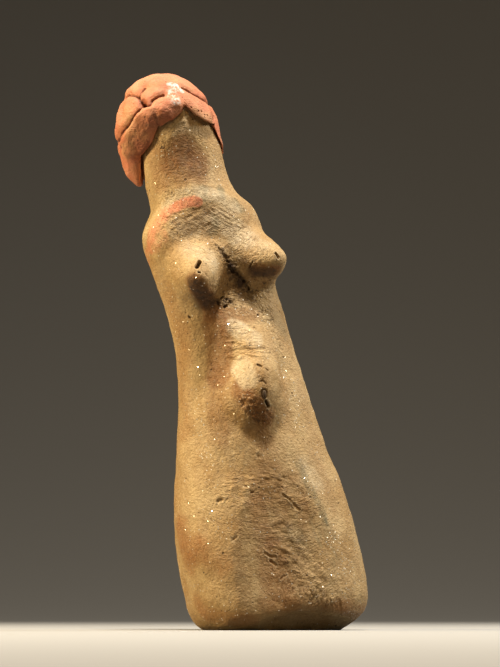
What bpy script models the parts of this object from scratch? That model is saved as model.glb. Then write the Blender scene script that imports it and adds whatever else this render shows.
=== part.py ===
"""A hand-modelled clay ritual doll: one leaning armless figure under a cap of clay hair pads.

Metres, +Z up. The origin is the middle of the resting face under the foot. The figure faces -Y
and leans towards -X. Angles round it run from 0 degrees at the front to +90 at its left side, +X.
"""

import math
from typing import NamedTuple

import bmesh
import bpy
from mathutils import Vector

# Every share below is a share of this height, which the crown of the hair nearly reaches.
FIGURE_HEIGHT = 0.200

# The hair is pressed on as pads of clay, and stays this far off the head, and more off the neck.
HAIR_GAP = 0.0004
LOCK_GAP = 0.0014
# The pads thin out towards the hairline, over this length and at least this share of their thickness,
# to this share of it at the edge. They are pressed in at their seams.
RIM_ROUNDING = 0.0028
RIM_SHARE = 0.52
RIM_EDGE = 0.28
SEAM_WIDTH = 0.0021
SEAM_DEPTH = 0.0010
SEAM_SHARE = 0.35

FIGURE_COLUMNS = 50
HAIR_COLUMNS = 54
HAIR_OUTER_ROWS = 19
HAIR_INNER_ROWS = 9
# Columns bunch at the front, where the modelling is, by this share of their spacing.
FRONT_BUNCHING = 0.38

CLAY_COLOUR = (0.58, 0.37, 0.19, 1.0)
OCHRE_COLOUR = (0.66, 0.27, 0.13, 1.0)


class Section(NamedTuple):
    """One cut across the figure, in shares of its height, with its tilt in degrees."""

    height: float
    lean: float
    tilt: float
    half_width: float
    front: float
    back: float
    squareness: float


class Form(NamedTuple):
    """A mound, or a hollow where the rise is below 0, in shares of the figure's height.

    Its radius is stretched by one factor above its middle and by another below it. It points
    down by the droop, in degrees, and its peak narrows as its sharpness grows.
    """

    angle: float
    height: float
    radius: float
    above: float
    below: float
    rise: float
    droop: float
    sharpness: float


# The figure from its resting face to the line where the dome of the head springs.
SECTIONS = (
    Section(0.000, 0.004, 0.0, 0.119, 0.095, 0.100, 2.5),
    Section(0.008, 0.004, 0.0, 0.131, 0.106, 0.109, 2.5),
    Section(0.018, 0.008, 0.5, 0.142, 0.115, 0.117, 2.5),
    Section(0.032, 0.013, 1.0, 0.154, 0.122, 0.124, 2.5),
    Section(0.060, 0.013, 2.0, 0.161, 0.127, 0.129, 2.5),
    Section(0.100, 0.006, 4.0, 0.162, 0.127, 0.129, 2.4),
    Section(0.150, -0.005, 6.0, 0.161, 0.124, 0.126, 2.4),
    Section(0.200, -0.015, 7.5, 0.157, 0.119, 0.121, 2.3),
    Section(0.250, -0.024, 8.0, 0.148, 0.112, 0.114, 2.3),
    Section(0.300, -0.034, 8.5, 0.137, 0.105, 0.107, 2.2),
    Section(0.400, -0.050, 9.5, 0.119, 0.094, 0.093, 2.2),
    Section(0.500, -0.068, 11.0, 0.105, 0.084, 0.081, 2.1),
    Section(0.580, -0.090, 12.0, 0.103, 0.077, 0.077, 2.1),
    Section(0.655, -0.113, 13.0, 0.107, 0.073, 0.077, 2.2),
    Section(0.692, -0.125, 13.0, 0.108, 0.071, 0.075, 2.3),
    Section(0.717, -0.132, 13.0, 0.104, 0.069, 0.072, 2.3),
    Section(0.737, -0.135, 13.0, 0.093, 0.069, 0.070, 2.2),
    Section(0.752, -0.140, 12.5, 0.080, 0.071, 0.068, 2.1),
    Section(0.767, -0.147, 12.5, 0.075, 0.067, 0.066, 2.0),
    Section(0.793, -0.156, 11.5, 0.075, 0.063, 0.066, 2.0),
    Section(0.840, -0.166, 10.5, 0.071, 0.065, 0.067, 2.0),
    Section(0.880, -0.173, 9.0, 0.065, 0.067, 0.068, 2.0),
)
HEAD_POLE_HEIGHT = 0.965
HEAD_POLE_LEAN = -0.190

# Heights where the rows of faces change spacing, each with the rows up to it.
ROW_BANDS = (
    (0.000, 0), (0.032, 4), (0.060, 2), (0.350, 12), (0.520, 12), (0.600, 6), (0.760, 17), (0.880, 6),
)
DOME_ROWS = 6

BREASTS = (
    Form(-27.0, 0.626, 0.066, 1.08, 0.80, 0.048, 8.0, 0.72),
    Form(42.0, 0.637, 0.058, 0.98, 0.92, 0.052, 12.0, 0.62),
)
MOUNDS = (
    Form(4.0, 0.462, 0.047, 1.5, 2.0, 0.019, 0.0, 0.42),
    Form(-3.0, 0.402, 0.060, 1.3, 0.95, 0.026, 0.0, 0.36),
)
HOLLOWS = (
    Form(-10.0, 0.686, 0.085, 0.50, 0.60, -0.006, 0.0, 1.0),
    Form(0.0, 0.632, 0.040, 1.1, 2.2, -0.015, 0.0, 1.1),
    Form(4.0, 0.580, 0.075, 0.8, 0.85, -0.022, 0.0, 0.8),
    Form(-36.0, 0.490, 0.050, 2.4, 2.4, -0.010, 0.0, 1.0),
    Form(-7.0, 0.115, 0.085, 2.0, 1.6, -0.018, 0.0, 0.6),
    Form(8.0, 0.000, 0.115, 0.38, 0.38, -0.030, 0.0, 1.0),
    Form(0.0, 0.840, 0.055, 1.3, 1.3, -0.007, 0.0, 1.0),
)

# The plain outer form of the hair: its spring line, the middle and radius there, and its pole.
HAIR_SPRING_HEIGHT = 0.875
HAIR_LEAN = -0.188
HAIR_SET_BACK = 0.011
HAIR_RADIUS = 0.093
HAIR_POLE_HEIGHT = 0.985
HAIR_POLE_LEAN = -0.199
# Lengths over the hair and the head, from the pole down to the spring line.
HAIR_QUARTER = 0.159
HEAD_QUARTER = 0.133
# Below its spring line the hair thins out to nothing over this height.
HAIR_TAPER = 0.100
# The hanging lock reaches its full gap off the neck this far below the head's spring line.
LOCK_DROP = 0.080

# The lower edge of the hair as angle and height, from the parting round by the figure's left.
HAIRLINE = (
    (3.0, 0.912), (7.0, 0.903), (16.0, 0.893), (29.0, 0.886), (44.0, 0.883), (50.0, 0.877), (54.0, 0.864),
    (60.0, 0.854), (75.0, 0.844), (95.0, 0.832), (115.0, 0.818), (133.0, 0.817), (148.0, 0.830),
    (160.0, 0.817), (178.0, 0.808), (195.0, 0.812), (210.0, 0.828), (222.0, 0.812), (236.0, 0.797),
    (248.0, 0.793), (258.0, 0.802), (264.0, 0.834), (280.0, 0.842), (293.0, 0.847), (301.0, 0.853),
    (306.0, 0.861), (309.0, 0.873), (322.0, 0.876), (338.0, 0.882), (347.0, 0.889), (354.0, 0.900),
)

# Seams between the pads, as angle and height.
SEAMS = (
    ((-47.0, 0.917), (-50.0, 0.908), (-56.0, 0.900), (-67.0, 0.881), (-84.0, 0.870), (-108.0, 0.858)),
    ((-47.0, 0.917), (-55.5, 0.931), (-68.0, 0.937), (-82.0, 0.940), (-99.0, 0.935), (-135.0, 0.926),
     (-185.0, 0.930)),
    ((-55.5, 0.931), (-48.0, 0.948)),
    ((-47.0, 0.917), (-37.0, 0.912), (-34.5, 0.922), (-27.0, 0.928), (-18.0, 0.932)),
    ((-31.5, 0.893), (-31.0, 0.873)),
    ((12.0, 0.949), (20.0, 0.944), (27.5, 0.938), (46.0, 0.931), (90.0, 0.930), (130.0, 0.940),
     (175.0, 0.930)),
    ((58.0, 0.931), (57.0, 0.906), (51.0, 0.893), (46.0, 0.883)),
    ((-92.0, 0.846), (-102.0, 0.852), (-112.0, 0.862), (-135.0, 0.926)),
    ((130.0, 0.940), (140.0, 0.890), (148.0, 0.830)),
    ((-185.0, 0.930), (-165.0, 0.880), (-150.0, 0.828)),
)


def smooth_between(values, places, place):
    """Values read at a place by a cubic that passes through each of them, without corners."""
    last = len(places) - 1
    index = max(0, min(last - 1, sum(1 for p in places[1:-1] if p <= place)))

    def slope(k):
        low, high = max(0, k - 1), min(last, k + 1)
        return [(b - a) / (places[high] - places[low]) for a, b in zip(values[low], values[high])]

    span = places[index + 1] - places[index]
    t = (place - places[index]) / span
    rise, fall = slope(index), slope(index + 1)
    near, far = values[index], values[index + 1]
    return [
        (2 * t**3 - 3 * t**2 + 1) * a
        + (t**3 - 2 * t**2 + t) * span * m
        + (3 * t**2 - 2 * t**3) * b
        + (t**3 - t**2) * span * n
        for a, b, m, n in zip(near, far, rise, fall)
    ]


def section_at(height):
    """The section of the plain figure at a height, with the dome of the head above the last one."""
    top = SECTIONS[-1]
    if height <= top.height:
        return Section(*smooth_between(SECTIONS, [s.height for s in SECTIONS], height))
    up = min(1.0, (height - top.height) / (HEAD_POLE_HEIGHT - top.height))
    shrink = math.sqrt(1 - up * up)
    return Section(
        height,
        top.lean + (HEAD_POLE_LEAN - top.lean) * up,
        top.tilt * (1 - up),
        top.half_width * shrink,
        top.front * shrink,
        top.back * shrink,
        top.squareness,
    )


def outline_point(section, angle, outset=0.0):
    """A point on a section's outline, or that far outside it, in metres."""
    s, c = math.sin(angle), math.cos(angle)
    power = 2 / section.squareness
    side = section.half_width * math.copysign(abs(s) ** power, s)
    depth = (section.front if c > 0 else section.back) * math.copysign(abs(c) ** power, c)
    tilt = math.radians(section.tilt)
    across = Vector((math.cos(tilt), 0, math.sin(tilt)))
    middle = Vector((section.lean, 0, section.height))
    flat = (middle + across * side) * FIGURE_HEIGHT
    flat.y = -depth * FIGURE_HEIGHT
    return flat + (across * s + Vector((0, -c, 0))) * outset


def plain_normal(height, angle):
    """The outward direction of the plain figure there."""
    step = 0.004
    here, over, under = section_at(height), section_at(height + step), section_at(height - step)
    sideways = outline_point(here, angle + step) - outline_point(here, angle - step)
    upwards = outline_point(over, angle) - outline_point(under, angle)
    return sideways.cross(upwards).normalized()


def form_offset(point, form):
    """How far a mound or hollow moves a point of the plain figure."""
    angle = math.radians(form.angle)
    foot = outline_point(section_at(form.height), angle)
    away = point - foot
    away.z /= form.above if away.z > 0 else form.below
    reach = away.length / (form.radius * FIGURE_HEIGHT)
    if reach >= 1:
        return Vector()
    swell = ((1 - reach) ** 2 * (1 + 2 * reach)) ** form.sharpness
    out = plain_normal(form.height, angle) - Vector((0, 0, math.sin(math.radians(form.droop))))
    return out.normalized() * (form.rise * FIGURE_HEIGHT * swell)


def figure_point(height, angle):
    """A point of the modelled figure."""
    plain = outline_point(section_at(height), angle)
    moved = plain.copy()
    for form in BREASTS + MOUNDS + HOLLOWS:
        moved += form_offset(plain, form)
    moved.z = max(moved.z, 0.0) if height > 0 else 0.0
    return moved


def column_angles(count):
    """Angles round the figure, closer together at the front."""
    even = [2 * math.pi * k / count for k in range(count)]
    return [a - FRONT_BUNCHING * math.sin(a) for a in even]


def row_heights():
    """Heights of the figure's rows of points, from the resting face up."""
    heights = [ROW_BANDS[0][0]]
    for (low, _), (high, rows) in zip(ROW_BANDS, ROW_BANDS[1:]):
        heights += [low + (high - low) * k / rows for k in range(1, rows + 1)]
    spring = SECTIONS[-1].height
    for k in range(1, DOME_ROWS):
        heights.append(spring + (HEAD_POLE_HEIGHT - spring) * math.sin(math.pi / 2 * k / DOME_ROWS))
    return heights


def start_ring(bm, points, closed):
    """A first ring of points, filled with a face where it is the bottom of a solid."""
    made = bmesh.ops.create_circle(bm, cap_ends=closed, radius=FIGURE_HEIGHT, segments=len(points))
    for vert, point in zip(made["verts"], points):
        vert.co = point
    return made["verts"]


def ring_edges(bm, ring):
    """The edges from each point of a ring to the next."""
    return [bm.edges.get((ring[k - 1], ring[k])) for k in range(len(ring))]


def draw_on(bm, ring, points):
    """Extrudes a ring onto the next ring of points, and gives back the new ring."""
    made = set(bmesh.ops.extrude_edge_only(bm, edges=ring_edges(bm, ring))["geom"])
    following = []
    for vert, point in zip(ring, points):
        twin = next(e.other_vert(vert) for e in vert.link_edges if e.other_vert(vert) in made)
        twin.co = point
        following.append(twin)
    return following


def close_ring(bm, ring, pole):
    """Closes a ring with triangles that meet in its pole."""
    cap = bmesh.ops.contextual_create(bm, geom=ring_edges(bm, ring))["faces"]
    bmesh.ops.poke(bm, faces=cap)["verts"][0].co = pole


def length_to(height, spring, pole, quarter):
    """Length over a dome, and straight down below its spring line, from its pole to a height."""
    if height <= spring:
        return quarter + spring - height
    return quarter * math.acos((height - spring) / (pole - spring)) / (math.pi / 2)


def height_at(length, spring, pole, quarter):
    """The height at that length from the pole."""
    if length >= quarter:
        return spring - (length - quarter)
    return spring + (pole - spring) * math.cos(math.pi / 2 * length / quarter)


def hairline_height(angle):
    """The height of the hair's lower edge at an angle."""
    turn = (math.degrees(angle) - HAIRLINE[0][0]) % 360 + HAIRLINE[0][0]
    points = HAIRLINE + ((HAIRLINE[0][0] + 360, HAIRLINE[0][1]),)
    for (a, low), (b, high) in zip(points, points[1:]):
        if turn <= b:
            return low + (high - low) * (turn - a) / (b - a)
    return HAIRLINE[0][1]


def hair_inner_point(height, angle):
    """A point of the hair's inside, a gap off the head and a wider one off the neck."""
    top = SECTIONS[-1]
    if height > top.height:
        middle = Vector((top.lean, 0, top.height)) * FIGURE_HEIGHT
        growth = 1 + HAIR_GAP / (top.half_width * FIGURE_HEIGHT)
        return middle + (outline_point(section_at(height), angle) - middle) * growth
    down = min(1.0, (top.height - height) / LOCK_DROP)
    return outline_point(section_at(height), angle, HAIR_GAP + (LOCK_GAP - HAIR_GAP) * down * down)


def hair_dome_point(height, angle):
    """A point of the hair's domed form, at or above its spring line."""
    up = min(1.0, (height - HAIR_SPRING_HEIGHT) / (HAIR_POLE_HEIGHT - HAIR_SPRING_HEIGHT))
    radius = HAIR_RADIUS * math.sqrt(1 - up * up)
    across = HAIR_LEAN + (HAIR_POLE_LEAN - HAIR_LEAN) * up + radius * math.sin(angle)
    return Vector((across, HAIR_SET_BACK - radius * math.cos(angle), height)) * FIGURE_HEIGHT


def hair_outer_point(height, angle):
    """A point of the hair's plain outer form, domed above its spring line and thinning below it."""
    if height >= HAIR_SPRING_HEIGHT:
        return hair_dome_point(height, angle)
    thickness = hair_dome_point(HAIR_SPRING_HEIGHT, angle) - hair_inner_point(HAIR_SPRING_HEIGHT, angle)
    left = max(0.0, 1 - ((HAIR_SPRING_HEIGHT - height) / HAIR_TAPER) ** 2)
    return hair_inner_point(height, angle) + thickness * left


def seam_points():
    """Points all along the seams, on the hair's plain outer form."""
    points = []
    for seam in SEAMS:
        for (a, low), (b, high) in zip(seam, seam[1:]):
            points += [
                hair_outer_point(low + (high - low) * k / 20, math.radians(a + (b - a) * k / 20))
                for k in range(21)
            ]
    return points


def rim_points():
    """Points all along the hairline, on the hair's inside."""
    angles = [2 * math.pi * k / 240 for k in range(240)]
    return [hair_inner_point(hairline_height(angle), angle) for angle in angles]


def pressed_point(inner, outer, rim, seams):
    """An outer point of the hair, drawn in towards the rim and pressed in along the seams."""
    thickness = (outer - inner).length
    rounding = max(RIM_ROUNDING, thickness * RIM_SHARE)
    near = min(1.0, min((inner - p).length for p in rim) / rounding)
    outer = inner + (outer - inner) * (RIM_EDGE + (1 - RIM_EDGE) * math.sqrt(1 - (1 - near) ** 2))
    off = min(1.0, min((outer - p).length for p in seams) / SEAM_WIDTH)
    depth = min(SEAM_DEPTH, thickness * SEAM_SHARE) * (1 - off) ** 1.5
    return outer - (outer - inner).normalized() * depth if depth > 0 else outer


def finish_object(name, bm, colour, roughness):
    """A named object with its material from a finished mesh."""
    bmesh.ops.recalc_face_normals(bm, faces=bm.faces)
    mesh = bpy.data.meshes.new(name)
    bm.to_mesh(mesh)
    bm.free()
    mesh.shade_smooth()
    mesh.set_sharp_from_angle(angle=math.radians(50))
    piece = bpy.data.objects.new(name, mesh)
    bpy.context.scene.collection.objects.link(piece)
    material = bpy.data.materials.new(name)
    material.use_nodes = True
    shader = material.node_tree.nodes["Principled BSDF"]
    shader.inputs["Base Color"].default_value = colour
    shader.inputs["Roughness"].default_value = roughness
    shader.inputs["Metallic"].default_value = 0.0
    material.diffuse_color = colour
    mesh.materials.append(material)
    return piece


def clay_figure():
    """The figure, drawn up from its flat resting face to the dome of its head."""
    bm = bmesh.new()
    angles = column_angles(FIGURE_COLUMNS)
    heights = row_heights()
    ring = start_ring(bm, [figure_point(heights[0], a) for a in angles], closed=True)
    for height in heights[1:]:
        ring = draw_on(bm, ring, [figure_point(height, a) for a in angles])
    close_ring(bm, ring, Vector((HEAD_POLE_LEAN, 0, HEAD_POLE_HEIGHT)) * FIGURE_HEIGHT)
    return finish_object("clay_figure", bm, CLAY_COLOUR, 0.8)


def hair_cap():
    """The hair, one closed shell of pads over the head with a lock hanging beside the neck."""
    bm = bmesh.new()
    rim, seams = rim_points(), seam_points()
    head = (SECTIONS[-1].height, HEAD_POLE_HEIGHT, HEAD_QUARTER)
    hair = (HAIR_SPRING_HEIGHT, HAIR_POLE_HEIGHT, HAIR_QUARTER)
    angles = column_angles(HAIR_COLUMNS)
    lines = [hairline_height(angle) for angle in angles]
    columns = [(angle, length_to(line, *head), length_to(line, *hair)) for angle, line in zip(angles, lines)]

    def inside(share):
        return [hair_inner_point(height_at(length * share, *head), angle) for angle, length, _ in columns]

    def outside(share):
        plain = [hair_outer_point(height_at(length * share, *hair), angle) for angle, _, length in columns]
        return [pressed_point(inner, outer, rim, seams) for inner, outer in zip(inside(share), plain)]

    shares = [1 - (1 - row / HAIR_OUTER_ROWS) ** 1.5 for row in range(1, HAIR_OUTER_ROWS)]
    first = start_ring(bm, outside(shares[0]), closed=False)
    ring = first
    for share in shares[1:]:
        ring = draw_on(bm, ring, outside(share))
    for row in range(HAIR_INNER_ROWS, 0, -1):
        ring = draw_on(bm, ring, inside(row / HAIR_INNER_ROWS))
    close_ring(bm, first, Vector((HAIR_POLE_LEAN, HAIR_SET_BACK, HAIR_POLE_HEIGHT)) * FIGURE_HEIGHT)
    close_ring(bm, ring, hair_inner_point(HEAD_POLE_HEIGHT, 0))
    return finish_object("hair_cap", bm, OCHRE_COLOUR, 0.75)


def main():
    for old in list(bpy.data.objects):
        bpy.data.objects.remove(old)
    clay_figure()
    hair_cap()


main()
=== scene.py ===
"""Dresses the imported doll: a worked clay figure, its ochre hair cap and a plain studio.

A place on the doll is an angle in degrees and a height in millimetres. Left and right are the viewer's, from
the front, and colours are linear.
"""

from __future__ import annotations

import logging
import math
from dataclasses import dataclass, field
from enum import Enum

import bpy
import numpy as np
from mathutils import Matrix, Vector
from mathutils.bvhtree import BVHTree


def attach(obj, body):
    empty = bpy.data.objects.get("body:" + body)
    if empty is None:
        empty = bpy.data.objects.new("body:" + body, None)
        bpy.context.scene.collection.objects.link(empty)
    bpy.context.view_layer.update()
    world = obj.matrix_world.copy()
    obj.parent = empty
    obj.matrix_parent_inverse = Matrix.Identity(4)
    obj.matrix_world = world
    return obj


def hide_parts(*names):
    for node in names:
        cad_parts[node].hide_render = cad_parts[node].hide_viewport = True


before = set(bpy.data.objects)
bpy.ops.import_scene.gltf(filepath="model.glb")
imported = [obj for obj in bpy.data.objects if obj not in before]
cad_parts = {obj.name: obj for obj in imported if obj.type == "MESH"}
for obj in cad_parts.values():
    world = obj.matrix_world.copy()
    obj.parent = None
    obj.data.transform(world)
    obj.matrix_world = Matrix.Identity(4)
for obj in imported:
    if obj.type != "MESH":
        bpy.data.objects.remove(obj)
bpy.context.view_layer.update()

LOG = logging.getLogger("doll")
MM = 0.001

OUTSIDE = 0.08  # metres from the axis, clear of both solids
MISSED = 0.02  # metres from the axis, for a level line that meets no surface
ONE_CORNER = 1e-6  # metres between corners that are merged
FLAT_ENOUGH = math.radians(70.0)  # most that two facets turn where they join into one
LEAST_WEIGHT = 0.002  # smaller weights are left out of a vertex group
LIP_MIDDLE, LIP_REACH = 1.25, 0.55  # of the clay pushed up beside a press, in widths of the press
PER_ROW, ACROSS, DOWN = 12, 190, 260  # how nodes stand on a sheet

Triple = tuple[float, float, float]
Colour = Triple
Place = tuple[float, float]
Path = tuple[Place, ...]


# ------------------------------------------------------------------ choices


class Tint(Enum):
    """What a daub leaves on the surface, a colour or a grain; each one is an attribute of the mesh."""

    CREVICE = "crevice"
    PALE = "pale"
    PAINT = "paint"
    SMOKE = "smoke"
    UMBER = "umber"
    RUST = "rust"
    LOAM = "loam"
    LEVEL = "level"
    RISING = "rising"
    FALLING = "falling"
    UPRIGHT = "upright"
    GRIT = "grit"
    MICA = "mica"


class Run(Enum):
    """Which way the fibres and finger strokes of a patch run, as lengths in millimetres along x, y and z."""

    LEVEL = (4.2, 4.2, 0.95)
    UPRIGHT = (0.95, 0.95, 6.0)
    CRUMB = (1.25, 1.25, 1.25)
    DENT = (3.6, 3.6, 4.4)
    SWELL = (11.0, 11.0, 14.0)


# ------------------------------------------------------------------ marks


@dataclass(frozen=True)
class Trace:
    """A path of places on a surface.

    Attributes:
        path: The places; 0 degrees is the front and 90 the viewer's right.
        width: How far from the path the trace still reaches, in millimetres.
        strength: What it gives on the path itself, from 0 to 1, or a depth in millimetres for a press.
        edge: 1 is a soft cone, and larger values keep the middle flat and steepen the rim.
    """

    path: Path
    width: float
    strength: float = 1.0
    edge: float = 1.0

    def fade(self, distance: np.ndarray) -> np.ndarray:
        """The share, from 1 on the path to 0 at the width.

        Args:
            distance: Distances from the path, in metres.

        Returns:
            The share at each distance.
        """
        inside = np.clip(1.0 - (distance / (self.width * MM)) ** (2.0 * self.edge), 0.0, 1.0)
        return inside * inside * (3.0 - 2.0 * inside)


@dataclass(frozen=True)
class Press(Trace):
    """A furrow, hole or pellet; its strength is the depth in millimetres, and a negative one stands proud.

    Attributes:
        lip: Height of the clay pushed up beside it, in millimetres.
        dark: How dark its bottom is painted, from 0 to 1, partly as dirt and partly as painted shade.
        pale: How much its lip is worn paler, from 0 to 1.
    """

    lip: float = 0.0
    dark: float = 1.0
    pale: float = 0.0


@dataclass(frozen=True)
class Daub(Trace):
    """Colour, dirt, or painted light and shade that lies along a path.

    Attributes:
        tint: Which attribute it adds to.
    """

    tint: Tint = Tint.UMBER


@dataclass(frozen=True)
class Texture:
    """Relief of one grain over a patch of the surface.

    Attributes:
        name: Name of the patch's vertex group and texture.
        run: Which way the grain runs.
        height: Height of the relief, in millimetres.
        turn: Turn of the grain about x, y and z, in degrees.
        patch: Traces that limit it; none means all over.
        depth: Number of finer layers in the noise.
    """

    name: str
    run: Run
    height: float
    turn: Triple = (0.0, 0.0, 0.0)
    patch: tuple[Trace, ...] = ()
    depth: int = 2


def daubs_of(tint: Tint, *rows: tuple) -> tuple[Daub, ...]:
    """Several daubs of one tint.

    Args:
        tint: What they leave.
        rows: The path, width and strength of each, and its edge where that isn't 1.

    Returns:
        The daubs.
    """
    return tuple(Daub(*row, tint=tint) for row in rows)


# ------------------------------------------------------------------ surfaces


@dataclass
class Skin:
    """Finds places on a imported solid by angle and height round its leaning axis.

    Attributes:
        tree: The solid's faces.
        axis: Rows of height, x and y of the axis, in millimetres.
    """

    tree: BVHTree
    axis: tuple[Triple, ...]

    def centre(self, height: float) -> Vector:
        """The axis at a height.

        Args:
            height: Height in millimetres.

        Returns:
            The point of the axis, in metres.
        """
        rows = np.array(self.axis)
        return Vector((float(np.interp(height, rows[:, 0], rows[:, 1])) * MM,
                       float(np.interp(height, rows[:, 0], rows[:, 2])) * MM, height * MM))

    def point(self, place: Place) -> Vector:
        """The surface at a place, met from outside along a level line.

        Args:
            place: Angle in degrees and height in millimetres.

        Returns:
            The point, in metres.
        """
        angle, height = math.radians(place[0]), place[1]
        centre = self.centre(height)
        out = Vector((math.sin(angle), -math.cos(angle), 0.0))
        hit = self.tree.ray_cast(centre + out * OUTSIDE, -out)[0]
        return centre + out * MISSED if hit is None else hit

    def lay(self, path: Path, step: float = 1.2) -> np.ndarray:
        """A path laid on the surface.

        Args:
            path: Places along it.
            step: Longest stretch between two points, in millimetres.

        Returns:
            The points, one row each, in metres.
        """
        points = [self.point(path[0])]
        for start, end in zip(path, path[1:]):
            span = (self.point(end) - self.point(start)).length / (step * MM)
            count = max(1, math.ceil(span))
            for i in range(1, count + 1):
                t = i / count
                points.append(self.point((start[0] + (end[0] - start[0]) * t,
                                          start[1] + (end[1] - start[1]) * t)))
        return np.array([tuple(p) for p in points])


def distance_to(points: np.ndarray, line: np.ndarray) -> np.ndarray:
    """Shortest distance from each point to a line of short stretches.

    Args:
        points: Points, one row each.
        line: Points along the line, one row each.

    Returns:
        One distance for each point.
    """
    best = np.linalg.norm(points - line[0], axis=1)
    for start, end in zip(line, line[1:]):
        along = end - start
        share = np.clip((points - start) @ along / max(float(along @ along), 1e-12), 0.0, 1.0)
        best = np.minimum(best, np.linalg.norm(points - start - share[:, None] * along, axis=1))
    return best


def deselect_all() -> None:
    """Leaves object mode with nothing selected."""
    if bpy.context.object is not None and bpy.context.object.mode != "OBJECT":
        bpy.ops.object.mode_set(mode="OBJECT")
    bpy.ops.object.select_all(action="DESELECT")


def make_active(piece: bpy.types.Object) -> None:
    """Selects one object alone and makes it the active one.

    Args:
        piece: The object.
    """
    deselect_all()
    piece.select_set(True)
    bpy.context.view_layer.objects.active = piece


# ------------------------------------------------------------------ a worked piece


@dataclass
class WorkedPiece:
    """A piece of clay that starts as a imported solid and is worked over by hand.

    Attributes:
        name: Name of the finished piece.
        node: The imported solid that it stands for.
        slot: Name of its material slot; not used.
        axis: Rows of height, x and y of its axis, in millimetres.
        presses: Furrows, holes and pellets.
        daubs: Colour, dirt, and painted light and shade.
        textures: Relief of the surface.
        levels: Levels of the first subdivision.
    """

    name: str
    node: str
    slot: str
    axis: tuple[Triple, ...]
    presses: tuple[Press, ...] = ()
    daubs: tuple[Daub, ...] = ()
    textures: tuple[Texture, ...] = ()
    levels: int = 2
    piece: bpy.types.Object = field(init=False, repr=False)
    skin: Skin = field(init=False, repr=False)

    def start(self) -> None:
        """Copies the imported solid, closes its seams and rounds its facets."""
        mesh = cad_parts[self.node].data.copy()
        mesh.name = self.name
        self.piece = bpy.data.objects.new(self.name, mesh)
        bpy.context.scene.collection.objects.link(self.piece)
        make_active(self.piece)
        bpy.ops.object.mode_set(mode="EDIT")
        bpy.ops.mesh.select_all(action="SELECT")
        bpy.ops.mesh.remove_doubles(threshold=ONE_CORNER)
        bpy.ops.mesh.tris_convert_to_quads(face_threshold=FLAT_ENOUGH, shape_threshold=FLAT_ENOUGH)
        bpy.ops.object.mode_set(mode="OBJECT")
        self.round_off()
        corners = [v.co.copy() for v in self.piece.data.vertices]
        self.skin = Skin(BVHTree.FromPolygons(corners, [tuple(p.vertices) for p in self.piece.data.polygons]),
                         self.axis)

    def round_off(self) -> None:
        """Applies the first subdivision."""
        smooth = self.piece.modifiers.new("round off", "SUBSURF")
        smooth.levels = smooth.render_levels = self.levels
        bpy.ops.object.modifier_apply(modifier=smooth.name)

    def points(self) -> np.ndarray:
        """The piece's vertices.

        Returns:
            One row each, in metres.
        """
        flat = np.empty(len(self.piece.data.vertices) * 3)
        self.piece.data.vertices.foreach_get("co", flat)
        return flat.reshape(-1, 3)

    def select_faces(self, chosen: np.ndarray) -> None:
        """Selects faces and nothing else, ready for edit mode.

        Args:
            chosen: True for each face to select.
        """
        mesh = self.piece.data
        bpy.context.tool_settings.mesh_select_mode = (False, False, True)
        mesh.vertices.foreach_set("select", np.zeros(len(mesh.vertices), bool))
        mesh.edges.foreach_set("select", np.zeros(len(mesh.edges), bool))
        mesh.polygons.foreach_set("select", chosen)

    def refine(self, chosen: np.ndarray) -> None:
        """Splits the chosen faces in four.

        Args:
            chosen: True for each face to split.
        """
        make_active(self.piece)
        self.select_faces(chosen)
        bpy.ops.object.mode_set(mode="EDIT")
        bpy.ops.mesh.subdivide(number_cuts=1, smoothness=0.0)
        bpy.ops.object.mode_set(mode="OBJECT")

    def face_centres(self) -> tuple[np.ndarray, np.ndarray]:
        """Where the faces are and how large.

        Returns:
            Their centres, one row each, in metres, and the sides of squares as large, in millimetres.
        """
        mesh = self.piece.data
        centres, areas = np.empty(len(mesh.polygons) * 3), np.empty(len(mesh.polygons))
        mesh.polygons.foreach_get("center", centres)
        mesh.polygons.foreach_get("area", areas)
        return centres.reshape(-1, 3), np.sqrt(areas) / MM

    def refine_near(self, traces: tuple[Trace, ...], reach: float, length: float) -> None:
        """Splits the larger faces near some traces.

        Args:
            traces: The traces.
            reach: Extra distance beyond each trace's width, in millimetres.
            length: Faces with sides shorter than this stay as they are, in millimetres.
        """
        centres, sides = self.face_centres()
        chosen = np.zeros(len(centres), bool)
        for trace in traces:
            chosen |= distance_to(centres, self.skin.lay(trace.path)) < (trace.width + reach) * MM
        self.refine(chosen & (sides > length))

    def add_group(self, name: str, weights: np.ndarray) -> bpy.types.VertexGroup:
        """A vertex group from one weight a vertex.

        Args:
            name: Its name.
            weights: Weights from 0 to 1.

        Returns:
            The group.
        """
        group = self.piece.vertex_groups.new(name=name)
        for index in np.nonzero(weights > LEAST_WEIGHT)[0]:
            group.add([int(index)], float(weights[index]), "REPLACE")
        return group

    def spread(self, traces: tuple[Trace, ...]) -> np.ndarray:
        """The strongest share of several traces at each vertex.

        Args:
            traces: The traces.

        Returns:
            One value from 0 to 1 for each vertex.
        """
        points = self.points()
        total = np.zeros(len(points))
        for trace in traces:
            share = trace.fade(distance_to(points, self.skin.lay(trace.path)))
            total = np.maximum(total, share * trace.strength)
        return np.clip(total, 0.0, 1.0)

    def displace(self, name: str, height: float, texture: bpy.types.Texture | None = None,
                 holder: bpy.types.Object | None = None, middle: float = 0.5,
                 direction: str = "NORMAL") -> None:
        """Moves the surface in or out under a vertex group of the same name, if there is one.

        Args:
            name: Name of the group.
            height: Travel in millimetres; a negative one goes inwards.
            texture: Relief to follow.
            holder: Empty whose axes stretch and turn the relief.
            middle: The texture's value that moves nothing.
            direction: Which way the surface travels.
        """
        make_active(self.piece)
        move = self.piece.modifiers.new(name, "DISPLACE")
        move.direction, move.strength, move.mid_level = direction, height * MM, middle
        if name in self.piece.vertex_groups:
            move.vertex_group = name
        if texture is not None and holder is not None:
            move.texture, move.texture_coords, move.texture_coords_object = texture, "OBJECT", holder
        bpy.ops.object.modifier_apply(modifier=move.name)

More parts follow.
